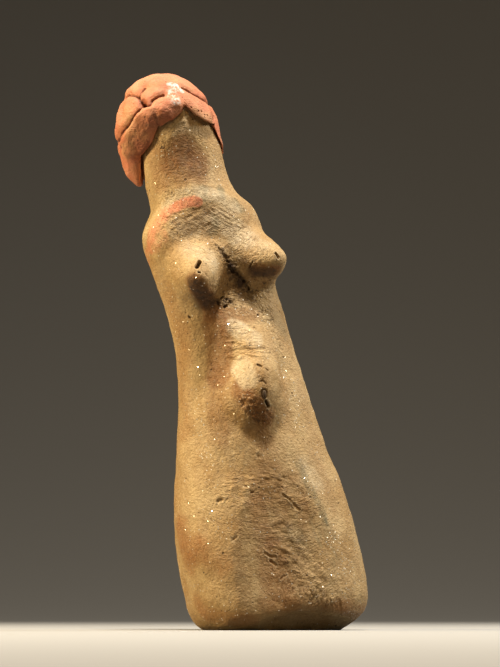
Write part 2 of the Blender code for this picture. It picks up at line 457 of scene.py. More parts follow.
    def add_texture(self, relief: Texture) -> None:
        """Works one grain of relief into the surface.

        Args:
            relief: The relief.
        """
        noise = bpy.data.textures.new(relief.name, "CLOUDS")
        noise.noise_basis, noise.noise_scale, noise.noise_depth = "BLENDER_ORIGINAL", 1.0, relief.depth
        holder = bpy.data.objects.new(relief.name, None)
        bpy.context.scene.collection.objects.link(holder)
        holder.scale = [length * MM for length in relief.run.value]
        holder.rotation_euler = [math.radians(a) for a in relief.turn]
        bpy.context.view_layer.update()
        if relief.patch:
            self.add_group(relief.name, self.spread(relief.patch))
        self.displace(relief.name, relief.height, noise, holder)
        bpy.data.objects.remove(holder)
        bpy.data.textures.remove(noise)

    def press_in(self) -> dict[Tint, np.ndarray]:
        """Presses every furrow, hole and pellet into the surface.

        Returns:
            The darkening of their bottoms, partly dirt and partly painted shade, and their paler lips, one
            value a vertex.
        """
        points = self.points()
        travel, dirt, pale_tone = (np.zeros(len(points)) for _ in range(3))
        for press in self.presses:
            distance = distance_to(points, self.skin.lay(press.path, step=0.6))
            share = press.fade(distance)
            travel -= share * press.strength
            # the bottom is painted dark, partly dirt and partly painted shade
            dirt = np.maximum(dirt, share * press.dark)
            widths = distance / (press.width * MM)
            ring = np.clip(1.0 - np.abs(widths - LIP_MIDDLE) / LIP_REACH, 0.0, 1.0)
            travel += ring * ring * press.lip
            pale_tone = np.maximum(pale_tone, ring * press.pale)
        for name, amount in (("pressed in", -travel), ("pushed up", travel)):
            most = float(amount.max())
            if most > 0.0:
                self.add_group(name, np.clip(amount / most, 0.0, 1.0))
                self.displace(name, most if name == "pushed up" else -most, middle=0.0)
        return {Tint.CREVICE: dirt, Tint.PALE: pale_tone}

    def daub_on(self, tints: dict[Tint, np.ndarray]) -> None:
        """Writes the colours, dirt, and painted light and shade to the mesh.

        Args:
            tints: What the presses left.
        """
        points = self.points()
        for tint in Tint:
            value = tints.get(tint, np.zeros(len(points)))
            for daub in self.daubs:
                if daub.tint is tint:
                    share = daub.fade(distance_to(points, self.skin.lay(daub.path))) * daub.strength
                    value = value + share * (1.0 - value)
            layer = self.piece.data.attributes.new(tint.value, "FLOAT", "POINT")
            layer.data.foreach_set("value", np.clip(value, 0.0, 1.0).astype(np.float32))

    def finish(self, material: bpy.types.Material) -> bpy.types.Object:
        """Clears what the work left, dresses the piece and ties it to its body.

        Args:
            material: Its finish.

        Returns:
            The piece.
        """
        self.piece.vertex_groups.clear()
        self.piece.data.materials.clear()
        self.piece.data.materials.append(material)
        make_active(self.piece)
        bpy.ops.object.shade_smooth()
        deselect_all()
        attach(self.piece, "root")
        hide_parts(self.node)
        LOG.info("%s: %d faces", self.name, len(self.piece.data.polygons))
        return self.piece


# ------------------------------------------------------------------ the clay figure


FIGURE_AXIS = ((0.0, 0.0, 0.0), (12.0, 2.6, 0.0), (20.0, 1.2, 0.0), (30.0, -1.0, 0.0), (50.0, -4.8, 0.0),
               (80.0, -10.0, 0.0), (100.0, -13.6, 0.0), (131.0, -22.6, 0.0), (150.0, -28.0, 0.0),
               (159.0, -31.2, 0.0), (168.0, -33.2, 0.0), (176.0, -34.6, 0.0), (200.0, -39.0, 0.0))

FIGURE_PRESSES = (
    # the ridge of the collar
    Press(((-62.0, 145.6), (-42.0, 149.6), (-20.0, 151.2), (2.0, 151.2), (22.0, 149.8), (40.0, 146.4)),
          7.0, -0.28, dark=0.0),
    # slot of the left breast, the small hole under it and the cracks beside it
    Press(((-29.9, 127.0), (-32.8, 124.9)), 0.84, 2.4, 1.5, lip=0.12),
    Press(((-32.2, 122.9), (-31.0, 122.8)), 0.42, 0.9, 1.2, lip=0.22, pale=0.8),
    Press(((-27.2, 122.4), (-26.6, 121.4)), 0.40, 0.30, dark=0.4),
    Press(((-22.5, 121.8), (-22.2, 120.8)), 0.36, 0.30, dark=0.6),
    Press(((-28.9, 128.0), (-24.3, 129.0), (-21.3, 128.0)), 0.34, 0.24, dark=0.35),
    Press(((-17.2, 132.0),), 0.50, 0.30, dark=0.6),
    Press(((-35.3, 130.4), (-33.8, 130.6)), 0.40, 0.25, dark=0.4),
    # twig hole of the right breast and the chip on its inner side
    Press(((41.0, 131.0), (41.4, 129.6)), 0.60, 2.0, 1.6, lip=0.16, pale=0.3),
    Press(((39.6, 130.9), (41.0, 130.4)), 0.42, 0.8, dark=0.9),
    Press(((28.6, 128.3), (26.8, 126.4)), 0.42, 0.38, lip=0.22, dark=0.4, pale=0.4),
    # navel: the stuck seed, its rim, the hole below it and the nick above
    Press(((-2.1, 81.7), (-2.3, 80.4)), 1.30, 0.55, 3.0, dark=0.85),
    Press(((-2.1, 81.7), (-2.3, 80.4)), 0.84, -0.75, 1.8, dark=0.0),
    Press(((-1.2, 78.6), (0.9, 76.9)), 0.66, 2.4, 1.5, lip=0.20, pale=0.8),
    Press(((-3.8, 85.3), (-1.6, 85.8), (0.4, 84.7)), 0.42, 0.34, dark=0.5),
    # crumbled patch under the left breast
    Press(((-25.8, 114.2), (-25.0, 113.4)), 0.75, 0.80),
    Press(((-20.8, 115.3), (-15.4, 116.1)), 0.52, 0.70),
    Press(((-18.6, 112.5), (-12.4, 113.1)), 0.60, 0.80),
    Press(((-10.2, 115.3),), 0.55, 0.60),
    Press(((-4.4, 114.7), (-3.2, 114.2)), 0.62, 0.70, dark=0.8),
    Press(((-19.6, 114.0),), 0.62, -0.50, dark=0.0, pale=0.5),
    Press(((-13.6, 114.5),), 0.55, -0.45, dark=0.0, pale=0.4),
    # the crumbling break between the breasts and under the right one
    Press(((-9.1, 134.8), (-6.5, 133.4)), 0.45, 0.35, dark=0.45),
    Press(((-5.0, 132.8), (-2.6, 132.0)), 0.60, 0.30, dark=0.35),
    Press(((1.0, 130.9), (3.6, 129.4)), 0.65, 0.35, dark=0.35),
    Press(((4.6, 128.4), (7.4, 128.2)), 0.60, 0.40, dark=0.45),
    Press(((7.5, 126.4), (10.5, 125.8)), 0.90, 0.60, dark=0.60),
    Press(((12.5, 125.2), (17.5, 124.4)), 0.85, 0.80, dark=0.80),
    Press(((19.5, 123.6), (23.5, 122.8)), 0.80, 0.70, dark=0.70),
    Press(((26.0, 121.8), (30.0, 120.2)), 0.75, 0.70, dark=0.70),
    Press(((31.5, 119.6), (33.6, 118.2)), 0.70, 0.60, dark=0.60),
    Press(((11.5, 126.9), (19.0, 126.5)), 0.55, -0.35, dark=0.0, pale=0.3),
    Press(((27.5, 110.0),), 0.50, 0.40, dark=0.7),
    Press(((29.7, 108.9),), 0.40, 0.35, dark=0.6),
    Press(((-60.2, 108.4), (-61.4, 108.8)), 0.55, 0.45, dark=0.7),
    # creases and pits over the belly
    Press(((-20.5, 99.6), (-12.0, 100.2), (-7.0, 99.4)), 0.42, 0.26, dark=0.12),
    Press(((-4.0, 99.0), (5.5, 99.6)), 0.38, 0.24, dark=0.12),
    Press(((-14.0, 96.8), (-6.0, 97.4), (0.5, 96.4)), 0.40, 0.28, dark=0.15),
    Press(((-20.6, 94.6), (-15.0, 95.2)), 0.40, 0.26, dark=0.15),
    Press(((-8.0, 94.6), (0.0, 94.0), (5.0, 92.9)), 0.44, 0.32, dark=0.25),
    Press(((-2.4, 91.2), (0.2, 90.7)), 0.60, 0.48, dark=0.6),
    Press(((1.8, 92.2),), 0.50, 0.40, dark=0.5),
    Press(((3.2, 89.9), (4.6, 89.3)), 0.46, 0.38, dark=0.5),
    # nicks of the face, the pebble at the parting and the neck's scratches
    Press(((-50.5, 168.1), (-44.0, 167.9)), 0.32, 0.42, lip=0.10),
    Press(((-22.0, 176.2), (-14.0, 177.4), (-6.0, 177.6)), 0.45, -0.30, dark=0.0, pale=0.5),
    Press(((0.0, 180.3),), 0.85, -0.60, dark=0.0, pale=0.7),
    Press(((-50.0, 151.6), (-45.5, 153.2)), 0.32, 0.26, lip=0.10, dark=0.35),
    Press(((-48.5, 150.7), (-44.5, 152.0)), 0.28, 0.20, dark=0.25),
    Press(((-56.0, 151.2), (-52.0, 152.2)), 0.28, 0.20, dark=0.25),
    # gouges and nicks of the skirt
    Press(((3.2, 46.8), (6.5, 45.6)), 0.50, 0.20, lip=0.18, dark=0.10, pale=0.3),
    Press(((7.5, 45.4), (10.0, 44.2)), 0.52, 0.20, lip=0.22, dark=0.05, pale=0.4),
    Press(((11.5, 43.6), (13.4, 42.0), (15.5, 41.6)), 0.62, 0.24, lip=0.18, dark=0.16, pale=0.3),
    Press(((-50.6, 44.3), (-48.4, 44.7)), 0.85, 0.40, lip=0.22, dark=0.35, pale=0.2),
    Press(((-47.0, 44.6), (-43.5, 44.9)), 0.34, 0.24, dark=0.2),
    Press(((-34.5, 40.0), (-30.5, 40.6)), 0.36, 0.32, dark=0.35),
    Press(((-25.6, 47.2), (-23.8, 47.4)), 0.48, 0.40, dark=0.5),
    Press(((-30.0, 49.6), (-27.6, 49.2)), 0.40, 0.30, dark=0.3),
    Press(((-44.0, 30.9), (-41.0, 31.9)), 0.60, 0.26, lip=0.34, dark=0.10, pale=0.4),
    Press(((-23.4, 26.6), (-19.5, 25.4), (-14.5, 25.2)), 0.55, 0.20, lip=0.18, dark=0.08, pale=0.4),
    Press(((-20.0, 23.8), (-16.0, 22.4)), 0.60, 0.20, lip=0.16, dark=0.08, pale=0.3),
    Press(((-14.0, 17.6), (-11.5, 18.4), (-8.0, 18.9)), 0.50, 0.22, lip=0.20, dark=0.10, pale=0.4),
    Press(((-14.0, 60.0), (-11.5, 59.7)), 0.70, 0.28, lip=0.2, dark=0.12, pale=0.2),
    Press(((-57.0, 38.2), (-56.4, 37.8)), 0.42, 0.35, dark=0.7),
    # ridges swept down the skirt to the right
    Press(((-20.0, 28.8), (-12.0, 29.4), (-4.0, 27.6), (2.0, 24.0)), 1.0, -0.10, dark=0.0),
    Press(((-10.0, 25.5), (-2.0, 22.0), (6.0, 17.5), (12.0, 13.0)), 1.2, -0.13, dark=0.0),
    Press(((-4.0, 28.5), (4.0, 24.5), (12.0, 19.0), (18.0, 14.5)), 1.2, -0.13, dark=0.0),
    Press(((2.0, 33.0), (10.0, 28.5), (18.0, 22.0), (24.0, 17.5)), 1.2, -0.13, dark=0.0),
    Press(((-12.0, 36.5), (-3.0, 38.0), (6.0, 36.5)), 1.0, -0.10, dark=0.0),
    Press(((-14.0, 52.5), (-4.0, 53.5), (4.0, 52.5)), 1.0, -0.10, dark=0.0),
) + tuple(
    # grooves drawn up from the foot
    Press(((9.0 + 3.9 * i, 13.4 - 0.5 * i - 0.9 * (i % 3)), (11.0 + 4.0 * i, 10.4 - 0.4 * i),
           (14.5 + 4.2 * i, 7.6 - 0.4 * i - 0.7 * (i % 2))), 0.50, 0.17, lip=0.08, dark=0.05)
    for i in range(7)
)

FIGURE_DAUBS = (
    # red band laid along the collar and over the left shoulder
    *daubs_of(
        Tint.PAINT,
        (((-44.0, 147.6), (-33.0, 148.6), (-21.0, 149.2)), 2.3, 1.0, 1.6),
        (((-21.5, 149.0), (-16.0, 148.8)), 2.1, 0.95, 1.8),
        (((-62.0, 145.2), (-54.0, 146.2), (-45.0, 147.0)), 2.4, 0.70),
        (((-84.0, 133.8), (-79.0, 137.2), (-72.0, 141.0), (-62.0, 144.6)), 3.4, 0.62),
        (((-100.0, 130.0), (-86.0, 133.0)), 3.0, 0.35),
        (((-66.0, 136.6), (-76.0, 133.6)), 3.6, 0.30),
    ),
    # grey green smoke on the collar, the chest and the skirt's edge, and the grey of the stuck seed
    *daubs_of(
        Tint.SMOKE,
        (((-1.5, 153.5), (-5.0, 150.8)), 2.4, 0.42),
        (((27.4, 154.1), (24.9, 151.9)), 2.2, 0.62),
        (((41.0, 149.8), (46.0, 147.6)), 2.4, 0.50),
        (((-3.0, 144.0), (5.2, 142.0)), 2.4, 0.42),
        (((0.3, 140.3), (-6.1, 138.4)), 2.2, 0.35),
        (((24.3, 57.2), (26.8, 52.0), (30.2, 46.9), (33.4, 41.8), (34.9, 36.6), (36.4, 32.5)), 2.2, 0.42),
        (((25.0, 38.2), (27.8, 31.0), (34.0, 24.0)), 3.4, 0.25),
        (((4.0, 34.0), (14.0, 31.5)), 3.6, 0.25),
        (((-2.1, 81.7), (-2.3, 80.4)), 0.95, 0.32, 3.0),
    ),
    # brown daubs, mostly painted shade: the hair's shadow on the face and neck, shade in the chest hollow and
    # in the valley left of the belly, the breasts' shadows, the navel knob's crumbly underside and its
    # shadow, and shade in the skirt's channel and under the foot's arch
    *daubs_of(
        Tint.UMBER,
        # painted shadow of the hair cap on the face and the neck
        (((-24.0, 171.0), (-12.0, 171.5), (0.0, 169.5)), 3.0, 0.50),
        (((-34.0, 163.5), (-18.0, 167.0), (0.0, 163.0)), 7.0, 0.95, 1.2),
        (((-32.0, 156.5), (-16.0, 158.5), (4.0, 158.0)), 3.6, 0.60),
        # painted shade in the hollow under the collar
        (((-34.0, 143.4), (-17.0, 144.8), (4.0, 144.0)), 3.2, 0.28),
        (((-46.0, 141.2), (-36.0, 140.0)), 3.0, 0.25),
        # painted shade in the valley left of the belly mound
        (((-34.0, 107.0), (-37.0, 98.0), (-41.0, 88.0)), 5.6, 0.80, 2.2),
        (((-42.0, 88.0), (-46.0, 78.0), (-44.0, 66.0)), 4.6, 0.40),
        # painted shadow below the breasts
        (((-36.0, 111.0), (-20.0, 110.5), (0.0, 109.5), (20.0, 110.0)), 4.2, 0.60, 1.2),
        # crumb under the navel knob, darkened further as painted shade
        (((-20.0, 83.0), (-15.0, 79.5), (-9.0, 76.0), (-2.0, 73.5)), 5.0, 0.95, 1.3),
        # painted shade in the skirt's channel and under the foot's arch
        (((-30.0, 54.5), (-14.0, 58.0), (4.0, 57.0), (17.0, 53.0)), 2.6, 0.20),
        (((-15.0, 30.0), (-12.0, 20.0), (-11.0, 11.0)), 4.0, 0.50),
        (((-10.0, 50.0), (6.0, 48.0), (10.0, 40.0), (-2.0, 32.0), (-6.0, 22.0), (-8.0, 13.0)),
         8.0, 0.24, 1.6),
        (((-24.0, 44.0), (-22.0, 32.0), (-25.0, 19.0), (-27.0, 9.0)), 4.4, 0.50),
        (((-18.0, 9.0), (4.0, 8.0), (24.0, 7.0)), 4.0, 0.50),
        # painted shadow under each breast
        (((-38.5, 119.6), (-34.0, 112.0)), 4.4, 0.95, 1.4),
        (((31.0, 125.6), (37.0, 125.2), (42.0, 125.4)), 3.2, 0.95, 1.3),
        # painted shadow below the navel knob
        (((-14.0, 69.0), (-6.0, 65.5)), 4.6, 0.36, 1.2),
        # brown on the neck's left
        (((-50.0, 164.0), (-52.0, 157.0)), 4.0, 0.30),
    ),
    # near black: crumb dirt along the break, in the pits under the left breast and under the navel, and
    # painted shadow under the breasts and of the hair on the face
    *daubs_of(
        Tint.LOAM,
        # painted shadow of the hair cap on the face
        (((-26.0, 164.0), (-12.0, 167.0), (2.0, 163.0)), 6.0, 0.24),
        # crumb along the break between the breasts
        (((-2.0, 131.8), (5.0, 129.6), (9.0, 127.4)), 1.4, 0.60),
        # crumb along the break, darkened further as painted shadow of the right breast
        (((7.0, 126.6), (16.0, 124.0), (22.0, 121.6)), 3.6, 0.66),
        (((24.0, 121.6), (33.5, 117.6)), 2.6, 0.50),
        # crumb of the pits under the left breast
        (((-26.0, 113.8), (-18.0, 113.8), (-4.0, 114.6)), 2.2, 0.45),
        # painted shadow under the left breast
        (((-38.0, 119.4), (-35.5, 113.6)), 3.6, 0.85, 1.2),
        # painted shadow of the right breast over crumb
        (((12.0, 119.8), (30.0, 116.2)), 3.4, 0.35),
        # painted shadow under the right breast
        (((30.0, 124.9), (40.0, 124.6)), 3.0, 0.85, 1.2),
        # crumb under the navel knob
        (((-14.5, 75.4), (-8.5, 73.6), (-3.0, 73.2)), 2.4, 0.12),
    ),
    # orange clay of the left flank, the foot's corners and the neck
    *daubs_of(
        Tint.RUST,
        (((-78.0, 118.0), (-78.0, 104.0), (-80.0, 88.0), (-82.0, 70.0)), 6.5, 0.35),
        (((-86.0, 36.0), (-80.0, 24.0), (-70.0, 28.0)), 7.0, 0.80),
        (((-66.0, 27.0), (-54.0, 22.0)), 6.0, 0.45),
        (((-80.0, 10.0), (-72.0, 5.5), (-52.0, 3.5), (-36.0, 3.0)), 4.2, 0.75),
        (((34.0, 8.5), (46.0, 7.5), (58.0, 6.0), (75.0, 7.0)), 4.4, 0.75),
        (((-60.0, 166.0), (-62.0, 156.0)), 5.0, 0.45),
    ),
    # paler clay: painted light on the tops of the breasts, the yoke, the collar ridge and the belly, and
    # paler patches on the skirt, on the seed and in the crust under the hairline
    *daubs_of(
        Tint.PALE,
        # painted light on the tops of the breasts and the inner slope of the left one
        (((-40.0, 131.5), (-30.0, 131.0), (-20.0, 129.0)), 5.0, 0.35),
        (((-20.0, 124.6), (-16.0, 126.6)), 3.0, 0.30),
        (((28.0, 135.0), (40.0, 134.0)), 3.6, 0.25),
        # painted light on the belly mound and the top of the navel knob
        (((-11.0, 105.5), (-6.0, 104.0), (4.0, 101.0)), 4.0, 0.50, 1.8),
        (((-17.0, 91.0), (-13.0, 86.5)), 4.8, 0.66, 1.6),
        # a paler patch on the skirt's right
        (((30.0, 58.0), (38.0, 50.0)), 3.6, 0.30),
        # painted highlight along the collar ridge and painted light over the yoke
        (((-60.0, 147.0), (-40.0, 150.8), (-20.0, 152.2), (2.0, 152.0), (22.0, 150.8), (38.0, 147.4)),
         3.4, 0.60),
        (((10.0, 143.0), (26.0, 140.5), (36.0, 137.0)), 6.0, 0.48),
        (((-48.0, 139.0), (-30.0, 139.5), (-14.0, 141.0)), 5.0, 0.30),
        (((-12.0, 152.6), (2.0, 151.6), (16.0, 152.0)), 3.0, 0.14),
        # the seed's pale face and the pale crust under the hairline
        (((-2.4, 81.9), (-2.6, 80.8)), 0.55, 0.40, 1.2),
        (((-36.0, 173.0), (-14.0, 176.0), (10.0, 175.5)), 3.0, 0.35),
    ),
    # where fibres and finger strokes stand out, each way that they run
    *daubs_of(
        Tint.RISING,
        (((-52.0, 141.0), (-34.0, 142.5), (-12.0, 142.5)), 7.0, 1.0, 1.4),
        (((-40.0, 133.0), (-20.0, 133.0)), 5.0, 0.45),
        (((-60.0, 40.0), (-40.0, 34.0)), 6.0, 0.50),
    ),
    *daubs_of(
        Tint.FALLING,
        (((4.0, 144.0), (24.0, 142.0), (38.0, 138.0)), 6.5, 0.70, 1.4),
        (((0.0, 131.5), (16.0, 133.0), (28.0, 129.0)), 4.5, 0.60),
        (((14.0, 30.0), (20.0, 20.0), (24.0, 12.0)), 6.5, 0.90, 1.2),
        (((24.0, 50.0), (31.0, 42.0), (34.0, 32.0)), 4.0, 0.60),
    ),
    *daubs_of(
        Tint.LEVEL,
        (((-18.0, 97.5), (6.0, 96.5)), 4.6, 1.0, 1.4),
        (((-34.0, 160.0), (-14.0, 161.5), (8.0, 159.0)), 5.0, 0.50),
        (((-16.0, 105.0), (2.0, 105.0)), 4.0, 0.60),
        (((-36.0, 48.0), (-6.0, 47.0), (8.0, 42.0)), 8.0, 0.75, 1.2),
        (((-24.0, 36.0), (0.0, 30.0)), 7.0, 0.60, 1.2),
    ),
    # where the clay is broken to loose grain
    *daubs_of(
        Tint.GRIT,
        (((-44.0, 170.0), (-20.0, 174.0), (10.0, 174.0)), 4.0, 0.35),
        (((-20.0, 80.0), (-30.0, 78.0)), 4.0, 0.30),
        (((-8.0, 133.4), (5.0, 129.8), (10.0, 126.0)), 3.0, 0.90),
        (((-28.0, 117.0), (-10.0, 118.5), (14.0, 120.0), (34.0, 119.0), (46.0, 121.0)), 6.0, 1.0, 1.2),
        (((-34.0, 111.5), (-10.0, 112.5), (14.0, 113.0), (40.0, 111.0)), 4.5, 0.80),
        (((-16.0, 79.0), (-12.0, 74.0), (-2.0, 73.0)), 4.2, 0.90),
        (((20.0, 132.0), (32.0, 127.0)), 5.0, 0.60),
        (((34.0, 108.0), (36.0, 98.0)), 5.0, 0.40),
        (((-22.0, 26.0), (-6.0, 20.0), (6.0, 14.0)), 6.0, 0.50),
    ),
    *daubs_of(
        Tint.UPRIGHT,
        (((-12.0, 12.0), (8.0, 11.0), (30.0, 8.5)), 4.0, 1.0),
        (((-10.0, 68.0), (-4.0, 61.0)), 5.0, 0.45),
        (((-40.0, 100.0), (-44.0, 84.0), (-46.0, 66.0)), 6.0, 0.40),
    ),
    # where mica shows thickest
    *daubs_of(
        Tint.MICA,
        (((26.0, 92.0), (32.0, 82.0), (36.0, 72.0)), 7.0, 1.0),
        (((38.0, 30.0), (42.0, 22.0), (38.0, 15.0)), 6.0, 1.0),
        (((-58.0, 169.5), (-48.0, 166.0)), 4.0, 1.0),
        (((-62.0, 76.0), (-60.0, 62.0), (-58.0, 54.0)), 4.0, 0.80),
        (((-60.0, 40.0), (-50.0, 36.0)), 5.0, 0.70),
        (((30.0, 108.0), (40.0, 114.0)), 4.0, 0.80),
        (((-60.0, 9.0), (-48.0, 8.0)), 5.0, 0.50),
        (((26.0, 58.0), (28.0, 50.0)), 3.0, 0.80),
        (((20.0, 170.0), (24.0, 158.0)), 5.0, 0.60),
    ),
)

YOKE_LEFT = (Trace(((-50.0, 141.0), (-34.0, 142.5), (-12.0, 142.5)), 7.0),)
YOKE_RIGHT = (Trace(((6.0, 143.0), (24.0, 142.0), (36.0, 138.0)), 6.5),)
BREAK = (Trace(((-8.0, 133.0), (5.0, 129.8), (10.0, 126.0), (22.0, 123.0), (33.0, 118.5)), 2.8),
         Trace(((-26.0, 113.8), (-4.0, 114.6)), 2.8, 0.8),
         Trace(((-24.0, 118.5), (14.0, 118.5), (40.0, 118.5)), 5.0, 0.50),
         Trace(((-16.0, 79.0), (-12.0, 74.0), (-2.0, 73.0)), 4.0, 0.75))
BELLY = (Trace(((-18.0, 97.5), (6.0, 96.5)), 5.5), Trace(((-14.0, 105.0), (2.0, 104.0)), 4.0, 0.4))
SKIRT = (Trace(((-30.0, 50.0), (6.0, 48.0), (10.0, 38.0), (-6.0, 32.0), (6.0, 18.0)), 9.0),)
FOOT_ARCH = (Trace(((-14.0, 11.0), (8.0, 11.0), (32.0, 8.5)), 5.0),)
ROUGH_ZONES = YOKE_LEFT + YOKE_RIGHT + BREAK + BELLY + SKIRT + FOOT_ARCH

FIGURE_TEXTURES = (
    Texture("hand swell", Run.SWELL, 0.70, depth=0),
    Texture("finger dents", Run.DENT, 0.45, depth=1),
    Texture("yoke fibres left", Run.LEVEL, 0.48, (0.0, -28.0, 0.0), YOKE_LEFT),
    Texture("yoke fibres right", Run.LEVEL, 0.42, (0.0, 24.0, 0.0), YOKE_RIGHT),
    Texture("belly creases", Run.LEVEL, 0.85, (0.0, 4.0, 0.0), BELLY),
    Texture("skirt dents", Run.DENT, 0.46, (0.0, 30.0, 0.0), SKIRT),
    Texture("skirt fibres", Run.LEVEL, 0.42, (0.0, 16.0, 0.0), SKIRT),
    Texture("foot fibres", Run.UPRIGHT, 0.85, (0.0, 16.0, 0.0), FOOT_ARCH),
    Texture("broken crumb", Run.CRUMB, 1.35, patch=BREAK),
)


@dataclass
class ClayFigure(WorkedPiece):
    """The pillar-like figure: head, collar, breasts, navel knob and foot in one lump of clay.

    Attributes:
        deep: Presses deeper than this are sharp if they are also narrow, in millimetres.
        narrow: The width below which they are, in millimetres.
    """

    name: str = "worked_figure"
    node: str = "clay_figure"
    slot: str = "clay"
    axis: tuple[Triple, ...] = FIGURE_AXIS
    presses: tuple[Press, ...] = FIGURE_PRESSES
    daubs: tuple[Daub, ...] = FIGURE_DAUBS
    textures: tuple[Texture, ...] = FIGURE_TEXTURES
    deep: float = 0.35
    narrow: float = 0.9

    def build(self, material: bpy.types.Material) -> bpy.types.Object:
        """Works the figure.

        Args:
            material: Its finish.

        Returns:
            The piece.
        """
        self.start()
        sharp = tuple(p for p in self.presses if p.strength > self.deep and p.width < self.narrow)
        self.refine_near(ROUGH_ZONES, reach=-1.0, length=0.50)
        self.refine_near(self.presses, reach=0.35, length=0.42)
        self.refine_near(sharp, reach=0.15, length=0.25)
        for relief in self.textures:
            self.add_texture(relief)
        self.daub_on(self.press_in())
        self.flatten_foot()
        return self.finish(material)

    def flatten_foot(self) -> None:
        """Presses whatever bulges below the floor back to the flat underside."""
        make_active(self.piece)
        bpy.context.tool_settings.mesh_select_mode = (True, False, False)
        bpy.ops.object.mode_set(mode="EDIT")
        bpy.ops.mesh.select_all(action="DESELECT")
        bpy.ops.object.mode_set(mode="OBJECT")
        self.piece.data.vertices.foreach_set("select", self.points()[:, 2] < 0.0)
        bpy.ops.object.mode_set(mode="EDIT")
        bpy.ops.transform.resize(value=(1.0, 1.0, 0.0), center_override=(0.0, 0.0, 0.0))
        bpy.ops.object.mode_set(mode="OBJECT")


# ------------------------------------------------------------------ the hair cap


HAIR_AXIS = ((150.0, -35.0, 2.2), (175.0, -37.6, 2.2), (197.0, -39.8, 2.2))

HAIR_SEAMS: tuple[Path, ...] = (
    ((-47.0, 183.4), (-50.0, 181.6), (-56.0, 180.0), (-61.0, 178.0), (-67.0, 176.2), (-75.0, 174.9),
     (-84.0, 174.0), (-91.0, 172.6), (-108.0, 171.6)),
    ((-47.0, 183.4), (-52.0, 184.8), (-55.5, 186.2), (-68.0, 187.4), (-82.0, 188.0), (-99.0, 187.0),
     (-135.0, 185.2), (-185.0, 186.0)),
    ((-55.5, 186.2), (-51.5, 188.0), (-48.0, 189.6)),
    ((-47.0, 183.4), (-41.0, 182.3), (-37.0, 182.4), (-34.5, 184.4), (-27.0, 185.6), (-19.0, 186.4)),
    ((12.0, 189.8), (20.0, 188.8), (27.5, 187.6), (37.0, 186.8), (46.0, 186.2), (90.0, 186.0),
     (130.0, 188.0), (175.0, 186.0)),
    ((58.0, 186.2), (57.0, 181.2), (51.0, 178.6), (46.0, 176.6)),
    ((-92.0, 169.2), (-102.0, 170.4), (-112.0, 172.4), (-135.0, 185.2)),
    ((130.0, 188.0), (140.0, 178.0), (148.0, 166.0)),
    ((-185.0, 186.0), (-165.0, 176.0), (-150.0, 165.6)),
)

HAIR_CREASES = tuple(Press(seam, 0.58, 0.70, 0.9, dark=0.85) for seam in HAIR_SEAMS) + (
    Press(((-47.0, 183.4), (-44.0, 182.9)), 0.95, 0.45, dark=0.7),
    Press(((-32.0, 177.2), (-31.2, 175.4), (-31.4, 173.6)), 0.85, 0.36, 0.8, dark=0.30),
    Press(((-14.0, 192.0), (-13.0, 191.8)), 0.35, 0.5),
    Press(((-62.0, 177.4), (-61.5, 177.0)), 0.42, 0.5, dark=0.7),
    Press(((-75.0, 188.9), (-73.5, 188.6)), 0.42, 0.5, dark=0.7),
) + tuple(
    # pits along the lower edge on the right
    Press(((13.0 + 4.4 * i, 182.0 - 0.5 * i + 0.6 * (i % 2)),), 0.40, 0.45, dark=0.75)
    for i in range(8)
)

HAIR_PRESSES = tuple(Press(seam, 1.9, 0.38, 0.8, dark=0.10) for seam in HAIR_SEAMS) + HAIR_CREASES

RIM_LEFT = ((-66.0, 168.9), (-56.0, 171.2), (-50.0, 173.6), (-38.0, 175.6), (-22.0, 177.0), (-9.0, 179.6))
RIM_RIGHT = ((10.0, 180.2), (20.0, 178.4), (30.0, 177.6), (44.0, 177.0), (52.0, 174.6), (60.0, 171.4))

HAIR_EDGES = (Trace(RIM_LEFT[1:], 7.0), Trace(RIM_RIGHT, 6.0, 0.5))

HAIR_DAUBS = (
    # painted highlight on the crown and down the first pad
    *daubs_of(
        Tint.PALE,
        (((-6.5, 190.6), (0.5, 189.9), (6.0, 188.9)), 1.9, 0.50, 1.2),
        (((-8.0, 187.6), (-7.0, 184.8), (-6.0, 182.6)), 2.4, 0.28),
    ),
    # wash worn down to the clay
    *daubs_of(
        Tint.LOAM,
        (((-57.5, 171.2), (-66.0, 171.5)), 4.4, 0.45),
        (((-72.0, 181.0), (-65.0, 175.5)), 3.8, 0.50),
        (((-78.0, 168.6), (-88.0, 168.0)), 3.6, 0.55),
        (((18.0, 181.5), (28.0, 179.6), (42.0, 178.6)), 2.8, 0.50),
        (((10.0, 192.5), (24.0, 190.5)), 3.0, 0.30),
    ),
    # painted shade on the lock, darker along the lower edges and in the notch at the parting
    *daubs_of(
        Tint.UMBER,
        (((-82.0, 165.0), (-86.0, 159.0), (-90.0, 153.0)), 5.0, 0.70, 1.2),
        (((-60.0, 166.0), (-62.0, 159.0), (-64.0, 152.0)), 5.0, 0.62, 1.2),
        (RIM_LEFT, 1.2, 0.12),
        (RIM_RIGHT, 1.3, 0.40),
        (((-47.0, 183.4), (-44.0, 182.9)), 2.2, 0.50),
    ),
    # where the clay is broken to loose grain
    *daubs_of(
        Tint.GRIT,
        (RIM_RIGHT, 3.4, 0.90),
        (RIM_LEFT, 3.0, 0.45),
        (((-60.0, 171.0), (-80.0, 170.0)), 5.0, 0.35),
    ),
)

HAIR_TEXTURES = (
    Texture("pad swell", Run.DENT, 0.75, depth=0),
    Texture("pad grain", Run.CRUMB, 0.24),
    Texture("rim pits", Run.CRUMB, 0.80, patch=(Trace(RIM_RIGHT, 2.4), Trace(RIM_LEFT, 2.0, 0.5))),
)


